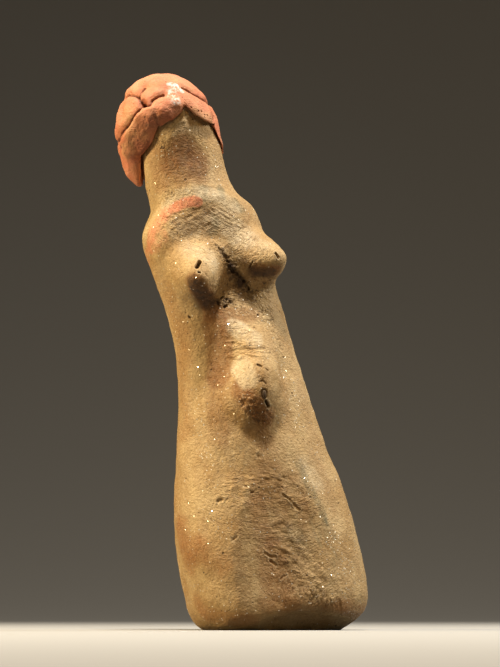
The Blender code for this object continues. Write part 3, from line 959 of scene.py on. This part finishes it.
@dataclass
class HairCap(WorkedPiece):
    """The cap of flattened clay pads that lies over the head as hair.

    Attributes:
        drawn: How far the front pads' lower edges are drawn up, in millimetres.
        thinned: How far they are thinned against the head, in millimetres.
        thin_width: How far from the edge that reaches, in millimetres.
    """

    name: str = "worked_hair"
    node: str = "hair_cap"
    slot: str = "ochre_hair"
    axis: tuple[Triple, ...] = HAIR_AXIS
    presses: tuple[Press, ...] = HAIR_PRESSES
    daubs: tuple[Daub, ...] = HAIR_DAUBS
    textures: tuple[Texture, ...] = HAIR_TEXTURES
    drawn: float = 1.5
    thinned: float = 0.40
    thin_width: float = 3.6

    def build(self, material: bpy.types.Material) -> bpy.types.Object:
        """Works the hair.

        Args:
            material: Its finish.

        Returns:
            The piece.
        """
        self.start()
        self.refine_near(HAIR_CREASES, reach=0.45, length=0.26)
        for relief in self.textures:
            self.add_texture(relief)
        self.daub_on(self.press_in())
        self.draw_edges()
        return self.finish(material)

    def draw_edges(self) -> None:
        """Draws the lower edges of the front pads up a little and thins them against the head."""
        self.add_group("edges drawn up", self.spread(HAIR_EDGES))
        self.displace("edges drawn up", self.drawn, middle=0.0, direction="Z")
        rims = tuple(Trace(rim, self.thin_width) for rim in (RIM_LEFT, RIM_RIGHT))
        self.add_group("edges thinned", self.spread(rims))
        self.displace("edges thinned", -self.thinned, middle=0.0)


# ------------------------------------------------------------------ nodes


Socket = bpy.types.NodeSocket
Value = float | tuple | Socket


@dataclass
class NodeSheet:
    """A node tree that is being laid out.

    Attributes:
        tree: The tree.
        count: How many nodes it has been given, for their places on the sheet.
    """

    tree: bpy.types.NodeTree
    count: int = 0

    def add(self, kind: str, inputs: dict[str | int, Value] | None = None,
            **settings: object) -> bpy.types.Node:
        """Adds a node, sets it and joins it.

        Args:
            kind: Blender's name for the node.
            inputs: Values, or outputs to join, by input.
            settings: The node's own settings.

        Returns:
            The node.
        """
        node = self.tree.nodes.new(kind)
        node.location = (self.count % PER_ROW * ACROSS, -(self.count // PER_ROW) * DOWN)
        self.count += 1
        for name, value in settings.items():
            setattr(node, name, value)
        for key, value in (inputs or {}).items():
            if isinstance(value, Socket):
                self.tree.links.new(value, node.inputs[key])
            else:
                node.inputs[key].default_value = value
        return node

    def math(self, operation: str, a: Value, b: Value = 0.0, c: Value = 0.0, clamp: bool = False) -> Socket:
        """One sum on two values, or on three where the operation takes them."""
        return self.add("ShaderNodeMath", {0: a, 1: b, 2: c}, operation=operation, use_clamp=clamp).outputs[0]

    def total(self, *terms: tuple[Value, float]) -> Socket:
        """Several values added up.

        Args:
            terms: Each value with its weight.

        Returns:
            Their sum.
        """
        parts = [self.math("MULTIPLY", value, weight) for value, weight in terms]
        result = parts[0]
        for part in parts[1:]:
            result = self.math("ADD", result, part)
        return result

    def under(self, mask: Value, gain: float, base: float, value: Value) -> Socket:
        """A value times what a mask gives, from base where it is 0 to base and gain where it is 1."""
        return self.math("MULTIPLY", self.math("MULTIPLY_ADD", mask, gain, base), value)

    def vector(self, operation: str, inputs: dict[str | int, Value]) -> Socket:
        """One sum on vectors."""
        return self.add("ShaderNodeVectorMath", inputs, operation=operation).outputs[0]

    def blend(self, share: Value, low: Value, high: Value, kind: str = "MIX") -> Socket:
        """Two colours mixed by a share.

        Args:
            share: How much of the second colour shows.
            low: The first colour.
            high: The second colour.
            kind: Blender's name for the way they mix.

        Returns:
            The mixed colour.
        """
        low, high = (c if isinstance(c, Socket) else (*c, 1.0) for c in (low, high))
        mix = self.add("ShaderNodeMix", {0: share, 6: low, 7: high}, data_type="RGBA", blend_type=kind)
        return mix.outputs[2]

    def dust(self, colour: Value, mask: Value, share: float, tone: Colour, kind: str = "MIX") -> Socket:
        """A colour dusted with a tone where a mask lets it."""
        return self.blend(self.math("MULTIPLY", mask, share), colour, tone, kind)

    def step(self, value: Value, low: float, high: float) -> Socket:
        """A smooth step of a value from 0 at low to 1 at high."""
        return self.add("ShaderNodeMapRange", {"Value": value, "From Min": low, "From Max": high},
                        interpolation_type="SMOOTHSTEP").outputs[0]

    def place(self, vector: Value, scale: Triple, turn: Triple) -> Socket:
        """Coordinates turned and then stretched.

        Args:
            vector: The coordinates.
            scale: Scale along x, y and z.
            turn: Turn about x, y and z, in degrees.

        Returns:
            The new coordinates.
        """
        angles = tuple(math.radians(a) for a in turn)
        turned = self.add("ShaderNodeMapping", {"Vector": vector, "Rotation": angles})
        return self.add("ShaderNodeMapping", {"Vector": turned.outputs[0], "Scale": scale}).outputs[0]

    def noise(self, vector: Value, scale: Value, detail: float, rough: float = 0.5) -> Socket:
        """Plain noise from about 0.3 to 0.7."""
        given = {"Vector": vector, "Scale": scale, "Detail": detail, "Roughness": rough}
        return self.add("ShaderNodeTexNoise", given).outputs[0]

    def cells(self, vector: Value, scale: Value) -> bpy.types.NodeOutputs:
        """Loose grains: the distance from the middle of each and its own random colour."""
        return self.add("ShaderNodeTexVoronoi", {"Vector": vector, "Scale": scale}, feature="F1").outputs

    def tint(self, tint: Tint) -> Socket:
        """One of the mesh's own colour masks."""
        return self.add("ShaderNodeAttribute", attribute_name=tint.value).outputs["Fac"]


def open_group(name: str, takes: dict[str, float | None], gives: dict[str, str]) -> NodeSheet:
    """Starts a shared node group.

    Args:
        name: Its name.
        takes: Inputs; a number is a value with that default, and None is a vector.
        gives: Outputs, each with "value", "colour" or "vector".

    Returns:
        Its sheet, which has the group's input and output nodes.
    """
    tree = bpy.data.node_groups.new(name, "ShaderNodeTree")
    kinds = {"value": "NodeSocketFloat", "colour": "NodeSocketColor", "vector": "NodeSocketVector"}
    for label, default in takes.items():
        kind = "NodeSocketVector" if default is None else "NodeSocketFloat"
        made = tree.interface.new_socket(label, in_out="INPUT", socket_type=kind)
        if default is not None:
            made.default_value = default
    for label, kind in gives.items():
        tree.interface.new_socket(label, in_out="OUTPUT", socket_type=kinds[kind])
    return NodeSheet(tree)


class SharedEffects:
    """The effects that both fired clays use, each built once as a node group."""

    def __init__(self) -> None:
        """Builds the groups."""
        self.strokes = self.make_strokes()
        self.grit = self.make_grit()
        self.mica = self.make_mica()
        self.pits = self.make_pits()
        self.ragged = self.make_ragged()
        self.mottle = self.make_mottle()

    def share(self, sheet: NodeSheet, tint: Tint, where: Value, scale: float, broken: float) -> Socket:
        """One of the mesh's colour masks with a ragged edge.

        Args:
            sheet: The material's sheet.
            tint: Which mask.
            where: Coordinates.
            scale: Scale of the raggedness.
            broken: How far it breaks the mask up.

        Returns:
            The mask.
        """
        return use(sheet, self.ragged, Mask=sheet.tint(tint), Vector=where, Scale=scale, Break=broken)["Mask"]

    @staticmethod
    def make_strokes() -> bpy.types.NodeTree:
        """Short furrows that a wet hand or a twig leaves, in coordinates already stretched along them.

        Returns:
            The group, which gives their height and their dark bottoms.
        """
        sheet = open_group("wiped strokes", {"Vector": None, "Bend": 1.4},
                           {"Height": "value", "Line": "value"})
        given = sheet.add("NodeGroupInput").outputs
        bend = sheet.add("ShaderNodeTexNoise", {"Vector": given["Vector"], "Scale": 0.35, "Detail": 1.0})
        offset = sheet.vector("SUBTRACT", {0: bend.outputs["Color"], 1: (0.5, 0.5, 0.5)})
        shift = sheet.vector("SCALE", {0: offset, "Scale": given["Bend"]})
        soft = sheet.noise(sheet.vector("ADD", {0: given["Vector"], 1: shift}), 1.0, 2.0, 0.6)
        fold = sheet.math("ABSOLUTE", sheet.math("SUBTRACT", soft, 0.5))
        gate = sheet.step(sheet.noise(given["Vector"], 0.55, 1.0, 0.55), 0.45, 0.60)
        line = sheet.math("MULTIPLY", sheet.step(fold, 0.055, 0.0), gate)
        sheet.add("NodeGroupOutput", {"Height": sheet.total((soft, 1.0), (line, -0.45)), "Line": line})
        return sheet.tree

    @staticmethod
    def make_grit() -> bpy.types.NodeTree:
        """Loose crumbs of clay, with painted light on their crests and painted shade, with some dirt, in the
        gaps between them.

        Returns:
            The group, which gives their height, their gaps and their crests.
        """
        sheet = open_group("loose grain", {"Vector": None, "Scale": 800.0},
                           {"Height": "value", "Gap": "value", "Crest": "value"})
        given = sheet.add("NodeGroupInput").outputs
        cells = sheet.cells(given["Vector"], given["Scale"])
        fine = sheet.noise(given["Vector"], sheet.math("MULTIPLY", given["Scale"], 1.25), 3.0, 0.65)
        broad = sheet.noise(given["Vector"], sheet.math("MULTIPLY", given["Scale"], 0.35), 2.0)
        gap = sheet.math("MULTIPLY", sheet.step(fine, 0.47, 0.38), sheet.step(broad, 0.38, 0.54))
        height = sheet.total((fine, 1.6), (cells["Distance"], -0.5))
        sheet.add("NodeGroupOutput", {"Height": height, "Gap": gap, "Crest": sheet.step(fine, 0.54, 0.66)})
        return sheet.tree

    @staticmethod
    def make_mica() -> bpy.types.NodeTree:
        """Flakes of mica that stand at every angle in the clay.

        Returns:
            The group, which gives where they are and the way that they face.
        """
        sheet = open_group("mica flakes", {"Vector": None, "Scale": 1500.0, "Share": 0.05, "Size": 0.3},
                           {"Mask": "value", "Normal": "vector"})
        given = sheet.add("NodeGroupInput").outputs
        cells = sheet.cells(given["Vector"], given["Scale"])
        chance = sheet.add("ShaderNodeSeparateColor", {0: cells["Color"]}).outputs[0]
        kept = sheet.math("LESS_THAN", chance, given["Share"])
        near = sheet.math("LESS_THAN", cells["Distance"], given["Size"])
        lean = sheet.vector("SUBTRACT", {0: cells["Color"], 1: (0.5, 0.5, 0.5)})
        face = sheet.add("ShaderNodeNewGeometry").outputs["Normal"]
        facing = sheet.vector("NORMALIZE", {0: sheet.vector("ADD", {0: face, 1: lean})})
        sheet.add("NodeGroupOutput", {"Mask": sheet.math("MULTIPLY", kept, near), "Normal": facing})
        return sheet.tree

    @staticmethod
    def make_pits() -> bpy.types.NodeTree:
        """Small round pits where a grain or a straw has dropped out.

        Returns:
            The group, which gives how deep each place is in a pit.
        """
        sheet = open_group("dropped grains", {"Vector": None, "Scale": 500.0, "Share": 0.2, "Size": 0.3},
                           {"Mask": "value"})
        given = sheet.add("NodeGroupInput").outputs
        cells = sheet.cells(given["Vector"], given["Scale"])
        chance = sheet.add("ShaderNodeSeparateColor", {0: cells["Color"]}).outputs
        kept = sheet.math("LESS_THAN", chance[0], given["Share"])
        size = sheet.math("MULTIPLY", given["Size"], sheet.math("ADD", chance[1], 0.35))
        round_in = sheet.math("SUBTRACT", 1.0, sheet.math("DIVIDE", cells["Distance"], size), clamp=True)
        sheet.add("NodeGroupOutput", {"Mask": sheet.math("MULTIPLY", kept, sheet.step(round_in, 0.0, 0.6))})
        return sheet.tree

    @staticmethod
    def make_ragged() -> bpy.types.NodeTree:
        """A soft mask broken up as dirt and paint are on a rough face.

        Returns:
            The group, which gives the broken mask.
        """
        sheet = open_group("ragged edge", {"Mask": 0.0, "Vector": None, "Scale": 600.0, "Break": 0.6},
                           {"Mask": "value"})
        given = sheet.add("NodeGroupInput").outputs
        noise = sheet.noise(given["Vector"], given["Scale"], 4.0, 0.65)
        moved = sheet.math("MULTIPLY", sheet.math("SUBTRACT", noise, 0.5), given["Break"])
        inner = sheet.math("MULTIPLY", moved, sheet.step(given["Mask"], 0.0, 0.25))
        summed = sheet.math("ADD", given["Mask"], sheet.math("MULTIPLY", inner, 2.0), clamp=True)
        sheet.add("NodeGroupOutput", {"Mask": summed})
        return sheet.tree

    @staticmethod
    def make_mottle() -> bpy.types.NodeTree:
        """Uneven tone of hand-made clay.

        Returns:
            The group, which gives broad clouds and fine grain.
        """
        sheet = open_group("mottle", {"Vector": None, "Broad": 60.0, "Fine": 900.0},
                           {"Cloud": "value", "Grain": "value"})
        given = sheet.add("NodeGroupInput").outputs
        cloud = sheet.step(sheet.noise(given["Vector"], given["Broad"], 5.0, 0.6), 0.32, 0.68)
        grain = sheet.step(sheet.noise(given["Vector"], given["Fine"], 3.0, 0.7), 0.3, 0.7)
        sheet.add("NodeGroupOutput", {"Cloud": cloud, "Grain": grain})
        return sheet.tree


def use(sheet: NodeSheet, group: bpy.types.NodeTree, **inputs: Value) -> bpy.types.NodeOutputs:
    """Places a shared effect.

    Args:
        sheet: The material's sheet.
        group: The effect.
        inputs: Its values.

    Returns:
        Its outputs.
    """
    return sheet.add("ShaderNodeGroup", inputs, node_tree=group).outputs


def open_material(name: str) -> tuple[bpy.types.Material, NodeSheet]:
    """An empty material and its sheet.

    Args:
        name: Its name.

    Returns:
        The material and the sheet.
    """
    material = bpy.data.materials.new(name)
    material.use_nodes = True
    material.node_tree.nodes.clear()
    return material, NodeSheet(material.node_tree)


# ------------------------------------------------------------------ finishes


STROKE_LAYS = {
    # scale and turn of the coordinates that each mask's strokes follow
    Tint.LEVEL: ((250.0, 250.0, 880.0), (0.0, 4.0, 0.0)),
    Tint.RISING: ((280.0, 280.0, 950.0), (0.0, -30.0, 0.0)),
    Tint.FALLING: ((280.0, 280.0, 950.0), (0.0, 34.0, 0.0)),
    Tint.UPRIGHT: ((800.0, 800.0, 200.0), (0.0, 14.0, 0.0)),
}


@dataclass(frozen=True)
class ClayFinish:
    """Fired ochre clay, wiped by hand, with mica, dropped grains, old dirt, and painted light and shade."""

    name: str = "fired clay"
    tan: Colour = (0.55, 0.352, 0.142)
    light: Colour = (0.72, 0.525, 0.262)
    # brown: the clay's own darker tone, also laid as painted shade by the brown daubs and the stroke bottoms
    brown: Colour = (0.31, 0.130, 0.030)
    orange: Colour = (0.44, 0.210, 0.068)
    paint: Colour = (0.80, 0.285, 0.145)
    smoke: Colour = (0.150, 0.145, 0.078)
    # near black of dirt, and of painted shade under the breasts, in the holes and in the gaps of the crumbs
    loam: Colour = (0.052, 0.026, 0.012)
    # pale: worn lips and crust, and painted light on the breasts, collar ridge, yoke, belly and crumb crests
    pale_tone: Colour = (0.84, 0.70, 0.46)
    mica: Colour = (1.0, 0.95, 0.80)
    roughness: float = 0.70

    def material(self, effects: SharedEffects) -> bpy.types.Material:
        """Builds the material.

        Args:
            effects: The shared node groups.

        Returns:
            The material.
        """
        material, sheet = open_material(self.name)
        where = sheet.add("ShaderNodeTexCoord").outputs["Object"]
        drawn = sheet.place(where, (1.0, 1.0, 0.35), (0.0, 12.0, 0.0))
        mottle = use(sheet, effects.mottle, Vector=where, Broad=60.0, Fine=1100.0)
        streaks = use(sheet, effects.mottle, Vector=drawn, Broad=150.0, Fine=600.0)
        grit = use(sheet, effects.grit, Vector=where, Scale=780.0)
        pits = use(sheet, effects.pits, Vector=where, Scale=420.0, Share=0.10, Size=0.20)
        specks = use(sheet, effects.pits, Vector=where, Scale=1200.0, Share=0.16, Size=0.34)
        thick, loose = sheet.tint(Tint.MICA), sheet.tint(Tint.GRIT)
        flakes = use(sheet, effects.mica, Vector=where, Scale=1700.0, Size=0.36,
                     Share=sheet.math("MULTIPLY_ADD", thick, 0.100, 0.022))
        glints = use(sheet, effects.mica, Vector=where, Scale=1150.0, Size=0.22,
                     Share=sheet.math("MULTIPLY_ADD", thick, 0.060, 0.008))
        mica = sheet.math("MAXIMUM", flakes["Mask"], glints["Mask"])
        strokes, lines = self.draw_strokes(sheet, effects, where)

        colour = sheet.blend(mottle["Cloud"], self.tan, self.light)
        colour = sheet.dust(colour, streaks["Cloud"], 0.34, self.brown)
        # the brown mask is mostly painted shade and the pale mask mostly painted light
        for tint, place, scale, broken, tone in (
                (Tint.RUST, where, 130.0, 0.7, self.orange), (Tint.UMBER, where, 260.0, 0.45, self.brown),
                (Tint.SMOKE, drawn, 420.0, 1.0, self.smoke), (Tint.PALE, where, 420.0, 0.6, self.pale_tone),
                (Tint.PAINT, where, 450.0, 0.9, self.paint)):
            colour = sheet.blend(effects.share(sheet, tint, place, scale, broken), colour, tone)
        # painted shade along the bottoms of the finger strokes
        colour = sheet.blend(lines, colour, self.brown)
        colour = sheet.dust(colour, mottle["Grain"], 0.34, self.brown, "MULTIPLY")
        colour = sheet.dust(colour, streaks["Grain"], 0.14, self.light)
        # painted light on the crests of the crumbs and painted shade, with some dirt, in their gaps
        colour = sheet.blend(sheet.under(loose, 0.26, 0.10, grit["Crest"]), colour, self.pale_tone)
        colour = sheet.blend(sheet.under(loose, 0.74, 0.10, grit["Gap"]), colour, self.loam)
        colour = sheet.dust(colour, pits["Mask"], 0.60, self.loam)
        colour = sheet.dust(colour, specks["Mask"], 0.40, self.loam)
        # near black of crumb dirt, with painted shadow under the breasts and on the face
        colour = sheet.blend(effects.share(sheet, Tint.LOAM, where, 420.0, 0.9), colour, self.loam)
        # the bottoms of presses are painted dark: dirt and painted shade
        colour = sheet.blend(effects.share(sheet, Tint.CREVICE, where, 1100.0, 0.5), colour, self.loam)
        # pale mica flakes, their pale colour partly a painted glint
        colour = sheet.dust(colour, mica, 0.80, self.mica)

        height = sheet.total((strokes, 0.46), (sheet.under(loose, 1.4, 0.30, grit["Height"]), 1.0),
                             (mottle["Grain"], 0.30), (pits["Mask"], -1.0), (specks["Mask"], -0.35))
        bump = sheet.add("ShaderNodeBump", {"Height": height, "Strength": 0.9, "Distance": 0.00040})
        normal = sheet.add("ShaderNodeMix", {0: mica, 4: bump.outputs[0], 5: glints["Normal"]},
                           data_type="VECTOR").outputs[1]
        rough = sheet.total((mottle["Cloud"], -0.12), (self.roughness, 1.0), (mica, -0.35))
        surface = sheet.add("ShaderNodeBsdfPrincipled", {
            "Base Color": colour, "Roughness": rough, "Metallic": sheet.math("MULTIPLY", mica, 0.35),
            "Normal": normal, "Specular IOR Level": 0.35})
        sheet.add("ShaderNodeOutputMaterial", {"Surface": surface.outputs[0]})
        return material

    @staticmethod
    def draw_strokes(sheet: NodeSheet, effects: SharedEffects, where: Value) -> tuple[Socket, Socket]:
        """Finger strokes that run each way, strong only where their own mask lets them.

        Args:
            sheet: The material's sheet.
            effects: The shared node groups.
            where: Coordinates.

        Returns:
            Their height and their dark bottoms.
        """
        drawings = {tint: use(sheet, effects.strokes, Vector=sheet.place(where, *lay))
                    for tint, lay in STROKE_LAYS.items()}
        level = drawings[Tint.LEVEL]
        height = sheet.math("MULTIPLY", level["Height"], 0.3)
        line = sheet.math("MULTIPLY", level["Line"], 0.08)
        for tint, drawing in drawings.items():
            mask = sheet.tint(tint)
            height = sheet.math("ADD", height, sheet.under(mask, 3.2, 0.20, drawing["Height"]))
            line = sheet.math("ADD", line, sheet.under(mask, 0.46, 0.0, drawing["Line"]), clamp=True)
        return height, line


@dataclass(frozen=True)
class OchreFinish:
    """Clay hair washed with red ochre and worn to the clay, with a painted highlight on the crown."""

    name: str = "ochre wash"
    ochre: Colour = (0.66, 0.218, 0.108)
    bright: Colour = (0.79, 0.345, 0.205)
    worn: Colour = (0.62, 0.36, 0.17)
    # deep: painted shade on the lock and the darker lower edges
    deep: Colour = (0.30, 0.080, 0.032)
    # near black of dirt and of painted shade in the holes and the gaps of the crumbs
    loam: Colour = (0.060, 0.020, 0.012)
    painted_highlight: Colour = (0.92, 0.88, 0.82)
    roughness: float = 0.61

    def material(self, effects: SharedEffects) -> bpy.types.Material:
        """Builds the material.

        Args:
            effects: The shared node groups.

        Returns:
            The material.
        """
        material, sheet = open_material(self.name)
        where = sheet.add("ShaderNodeTexCoord").outputs["Object"]
        mottle = use(sheet, effects.mottle, Vector=where, Broad=90.0, Fine=1300.0)
        wash = use(sheet, effects.mottle, Vector=where, Broad=240.0, Fine=2200.0)
        laid = sheet.place(where, (240.0, 240.0, 700.0), (0.0, -20.0, 0.0))
        level = use(sheet, effects.strokes, Vector=laid)
        grit = use(sheet, effects.grit, Vector=where, Scale=900.0)
        pits = use(sheet, effects.pits, Vector=where, Scale=480.0, Share=0.12, Size=0.22)
        specks = use(sheet, effects.pits, Vector=where, Scale=1300.0, Share=0.14, Size=0.32)
        loose = sheet.tint(Tint.GRIT)

        colour = sheet.blend(mottle["Cloud"], self.ochre, self.bright)
        colour = sheet.dust(colour, wash["Cloud"], 0.30, self.worn)
        colour = sheet.blend(effects.share(sheet, Tint.LOAM, where, 300.0, 0.8), colour, self.worn)
        # the deep tone paints shade on the lock and darkens the lower edges
        colour = sheet.blend(effects.share(sheet, Tint.UMBER, where, 420.0, 0.6), colour, self.deep)
        colour = sheet.dust(colour, wash["Grain"], 0.28, self.ochre, "MULTIPLY")
        # painted shade, with some dirt, in the gaps of the crumbs
        colour = sheet.blend(sheet.under(loose, 0.65, 0.05, grit["Gap"]), colour, self.loam)
        colour = sheet.dust(colour, pits["Mask"], 0.60, self.loam)
        colour = sheet.dust(colour, specks["Mask"], 0.30, self.loam)
        # painted highlight on the crown and down the first pad
        colour = sheet.blend(effects.share(sheet, Tint.PALE, where, 700.0, 2.2), colour, self.painted_highlight)
        # the bottoms of seams and presses are painted dark: dirt and painted shade
        colour = sheet.blend(effects.share(sheet, Tint.CREVICE, where, 1100.0, 0.5), colour, self.loam)

        height = sheet.total((level["Height"], 0.60), (mottle["Grain"], 0.30),
                             (sheet.under(loose, 1.0, 0.25, grit["Height"]), 1.0),
                             (pits["Mask"], -1.1), (specks["Mask"], -0.4))
        bump = sheet.add("ShaderNodeBump", {"Height": height, "Strength": 0.8, "Distance": 0.00030})
        rough = sheet.total((wash["Cloud"], 0.14), (self.roughness, 1.0))
        surface = sheet.add("ShaderNodeBsdfPrincipled", {
            "Base Color": colour, "Roughness": rough, "Normal": bump.outputs[0], "Specular IOR Level": 0.35})
        sheet.add("ShaderNodeOutputMaterial", {"Surface": surface.outputs[0]})
        return material


@dataclass(frozen=True)
class FloorFinish:
    """Plain pale paper of the studio floor, which throws little light back up at the doll."""

    name: str = "studio floor"
    colour: Colour = (0.46, 0.452, 0.44)
    thrown: Colour = (0.06, 0.058, 0.055)

    def material(self) -> bpy.types.Material:
        """Builds the material.

        Returns:
            The material.
        """
        material, sheet = open_material(self.name)
        bounce = sheet.add("ShaderNodeLightPath").outputs["Is Diffuse Ray"]
        surface = sheet.add("ShaderNodeBsdfPrincipled", {
            "Base Color": sheet.blend(bounce, self.colour, self.thrown), "Roughness": 0.9})
        sheet.add("ShaderNodeOutputMaterial", {"Surface": surface.outputs[0]})
        return material


# ------------------------------------------------------------------ studio


@dataclass(frozen=True)
class Lamp:
    """A soft box.

    Attributes:
        name: Its name.
        turn: Direction it stands in, in degrees round the doll from the front.
        rise: How high it stands, in degrees.
        away: Its distance in metres.
        size: Its width in metres.
        power: Its power in watts.
        colour: Its colour.
    """

    name: str
    turn: float
    rise: float
    away: float
    size: float
    power: float
    colour: Colour = (1.0, 1.0, 1.0)


@dataclass(frozen=True)
class Backdrop:
    """The studio floor, which rises behind the doll in one sweep.

    Attributes:
        side: Side of the floor, in metres.
        rise: Height of the back, in metres.
        sweep: Size of the curve between them, in metres.
        steps: Number of strips in the curve.
        near: How close to a line a corner has to lie to be on it, in metres.
    """

    side: float = 6.0
    rise: float = 5.0
    sweep: float = 1.8
    steps: int = 24
    near: float = 0.1

    def build(self, azimuth: float) -> None:
        """Lays the floor and turns its back away from the camera.

        Args:
            azimuth: The camera's direction round the doll, in degrees.
        """
        deselect_all()
        bpy.ops.mesh.primitive_plane_add(size=self.side, location=(0.0, 0.0, 0.0))
        floor = bpy.context.object
        floor.name = "floor"
        bpy.context.tool_settings.mesh_select_mode = (False, True, False)
        self.select_back_edge(floor)
        bpy.ops.mesh.extrude_region_move(TRANSFORM_OT_translate={"value": (0.0, 0.0, self.rise)})
        self.select_back_edge(floor)
        bpy.ops.mesh.bevel(offset=self.sweep, segments=self.steps, affect="EDGES")
        bpy.ops.object.mode_set(mode="OBJECT")
        bpy.ops.transform.rotate(value=-math.radians(azimuth), orient_axis="Z", center_override=(0, 0, 0))
        bpy.ops.object.transform_apply(location=True, rotation=True, scale=True)
        bpy.ops.object.shade_smooth()
        floor.data.materials.append(FloorFinish().material())
        deselect_all()

    def select_back_edge(self, floor: bpy.types.Object) -> None:
        """Selects the floor's back edge on the ground and stays in edit mode.

        Args:
            floor: The floor.
        """
        bpy.ops.object.mode_set(mode="EDIT")
        bpy.ops.mesh.select_all(action="DESELECT")
        bpy.ops.object.mode_set(mode="OBJECT")
        corners = floor.data.vertices
        for edge in floor.data.edges:
            edge.select = all(corners[i].co.y > self.side / 2.0 - self.near and corners[i].co.z < self.near
                              for i in edge.vertices)
        bpy.ops.object.mode_set(mode="EDIT")


@dataclass(frozen=True)
class Studio:
    """Floor, lamps and camera.

    Attributes:
        azimuth: The camera's direction round the doll, in degrees.
        distance: Its distance from the upright through the origin, in metres.
        eye: Its height, in metres.
        pitch: How far it looks up, in degrees.
        yaw: How far it is turned to its left, in degrees.
        focal: Focal length, in pixels of the picture.
        tall: The picture's longer side, in pixels.
        sensor: The camera's longer side, in millimetres.
        sight: The nearest and farthest that it sees, in metres.
        aim: What the lamps point at.
        fill: Strength of the even light from all round.
        warmth: Its colour.
        lamps: The soft boxes.
    """

    azimuth: float = -20.0
    distance: float = 0.90
    eye: float = 0.0055
    pitch: float = 6.32
    yaw: float = 0.44
    focal: float = 2536.0
    tall: float = 667.0
    sensor: float = 36.0
    sight: tuple[float, float] = (0.01, 30.0)
    aim: Triple = (-0.018, 0.0, 0.11)
    fill: float = 0.03
    warmth: Colour = (1.0, 0.80, 0.58)
    lamps: tuple[Lamp, ...] = (
        Lamp("key", -20.0, 71.0, 0.90, 0.09, 10.4, (1.0, 0.95, 0.86)),
        Lamp("left side", -98.0, 22.0, 0.80, 0.18, 7.6, (1.0, 0.79, 0.46)),
        Lamp("right side", 78.0, 36.0, 0.80, 0.18, 4.2, (1.0, 0.97, 0.88)),
        Lamp("front fill", 0.0, 42.0, 1.20, 0.40, 2.6, (1.0, 0.70, 0.34)),
    )

    def build(self) -> None:
        """Sets the whole studio up."""
        Backdrop().build(self.azimuth)
        for lamp in self.lamps:
            self.hang(lamp)
        self.light_room()
        self.set_camera()

    def hang(self, lamp: Lamp) -> None:
        """Hangs one soft box.

        Args:
            lamp: The soft box.
        """
        light = bpy.data.lights.new(lamp.name, "AREA")
        light.shape, light.size, light.energy, light.color = "DISK", lamp.size, lamp.power, lamp.colour
        holder = bpy.data.objects.new(lamp.name, light)
        bpy.context.scene.collection.objects.link(holder)
        turn, rise, aim = math.radians(lamp.turn), math.radians(lamp.rise), Vector(self.aim)
        out = Vector((math.sin(turn) * math.cos(rise), -math.cos(turn) * math.cos(rise), math.sin(rise)))
        holder.location = aim + out * lamp.away
        holder.rotation_euler = (-out).to_track_quat("-Z", "Y").to_euler()

    def light_room(self) -> None:
        """Gives the room an even, faint light and plain film."""
        bpy.context.scene.view_settings.view_transform = "Standard"
        world = bpy.data.worlds.new("room")
        bpy.context.scene.world = world
        world.use_nodes = True
        back = world.node_tree.nodes["Background"]
        back.inputs["Color"].default_value = (*self.warmth, 1.0)
        back.inputs["Strength"].default_value = self.fill

    def set_camera(self) -> None:
        """Sets the camera at the photograph's viewing angle."""
        data = bpy.data.cameras.new("camera")
        data.sensor_width, data.sensor_fit = self.sensor, "AUTO"
        data.lens = self.focal * self.sensor / self.tall
        data.clip_start, data.clip_end = self.sight
        camera = bpy.data.objects.new("camera", data)
        bpy.context.scene.collection.objects.link(camera)
        turn = math.radians(self.azimuth)
        camera.location = (math.sin(turn) * self.distance, -math.cos(turn) * self.distance, self.eye)
        camera.rotation_euler = (math.radians(90.0 + self.pitch), 0.0, math.radians(self.azimuth + self.yaw))
        bpy.context.scene.camera = camera


# ------------------------------------------------------------------ main


def main() -> None:
    """Builds the pieces in order and sets the studio round them."""
    logging.basicConfig(level=logging.INFO, format="%(name)s: %(message)s")
    effects = SharedEffects()
    ClayFigure().build(ClayFinish().material(effects))
    HairCap().build(OchreFinish().material(effects))
    Studio().build()


if __name__ == "__main__":
    main()
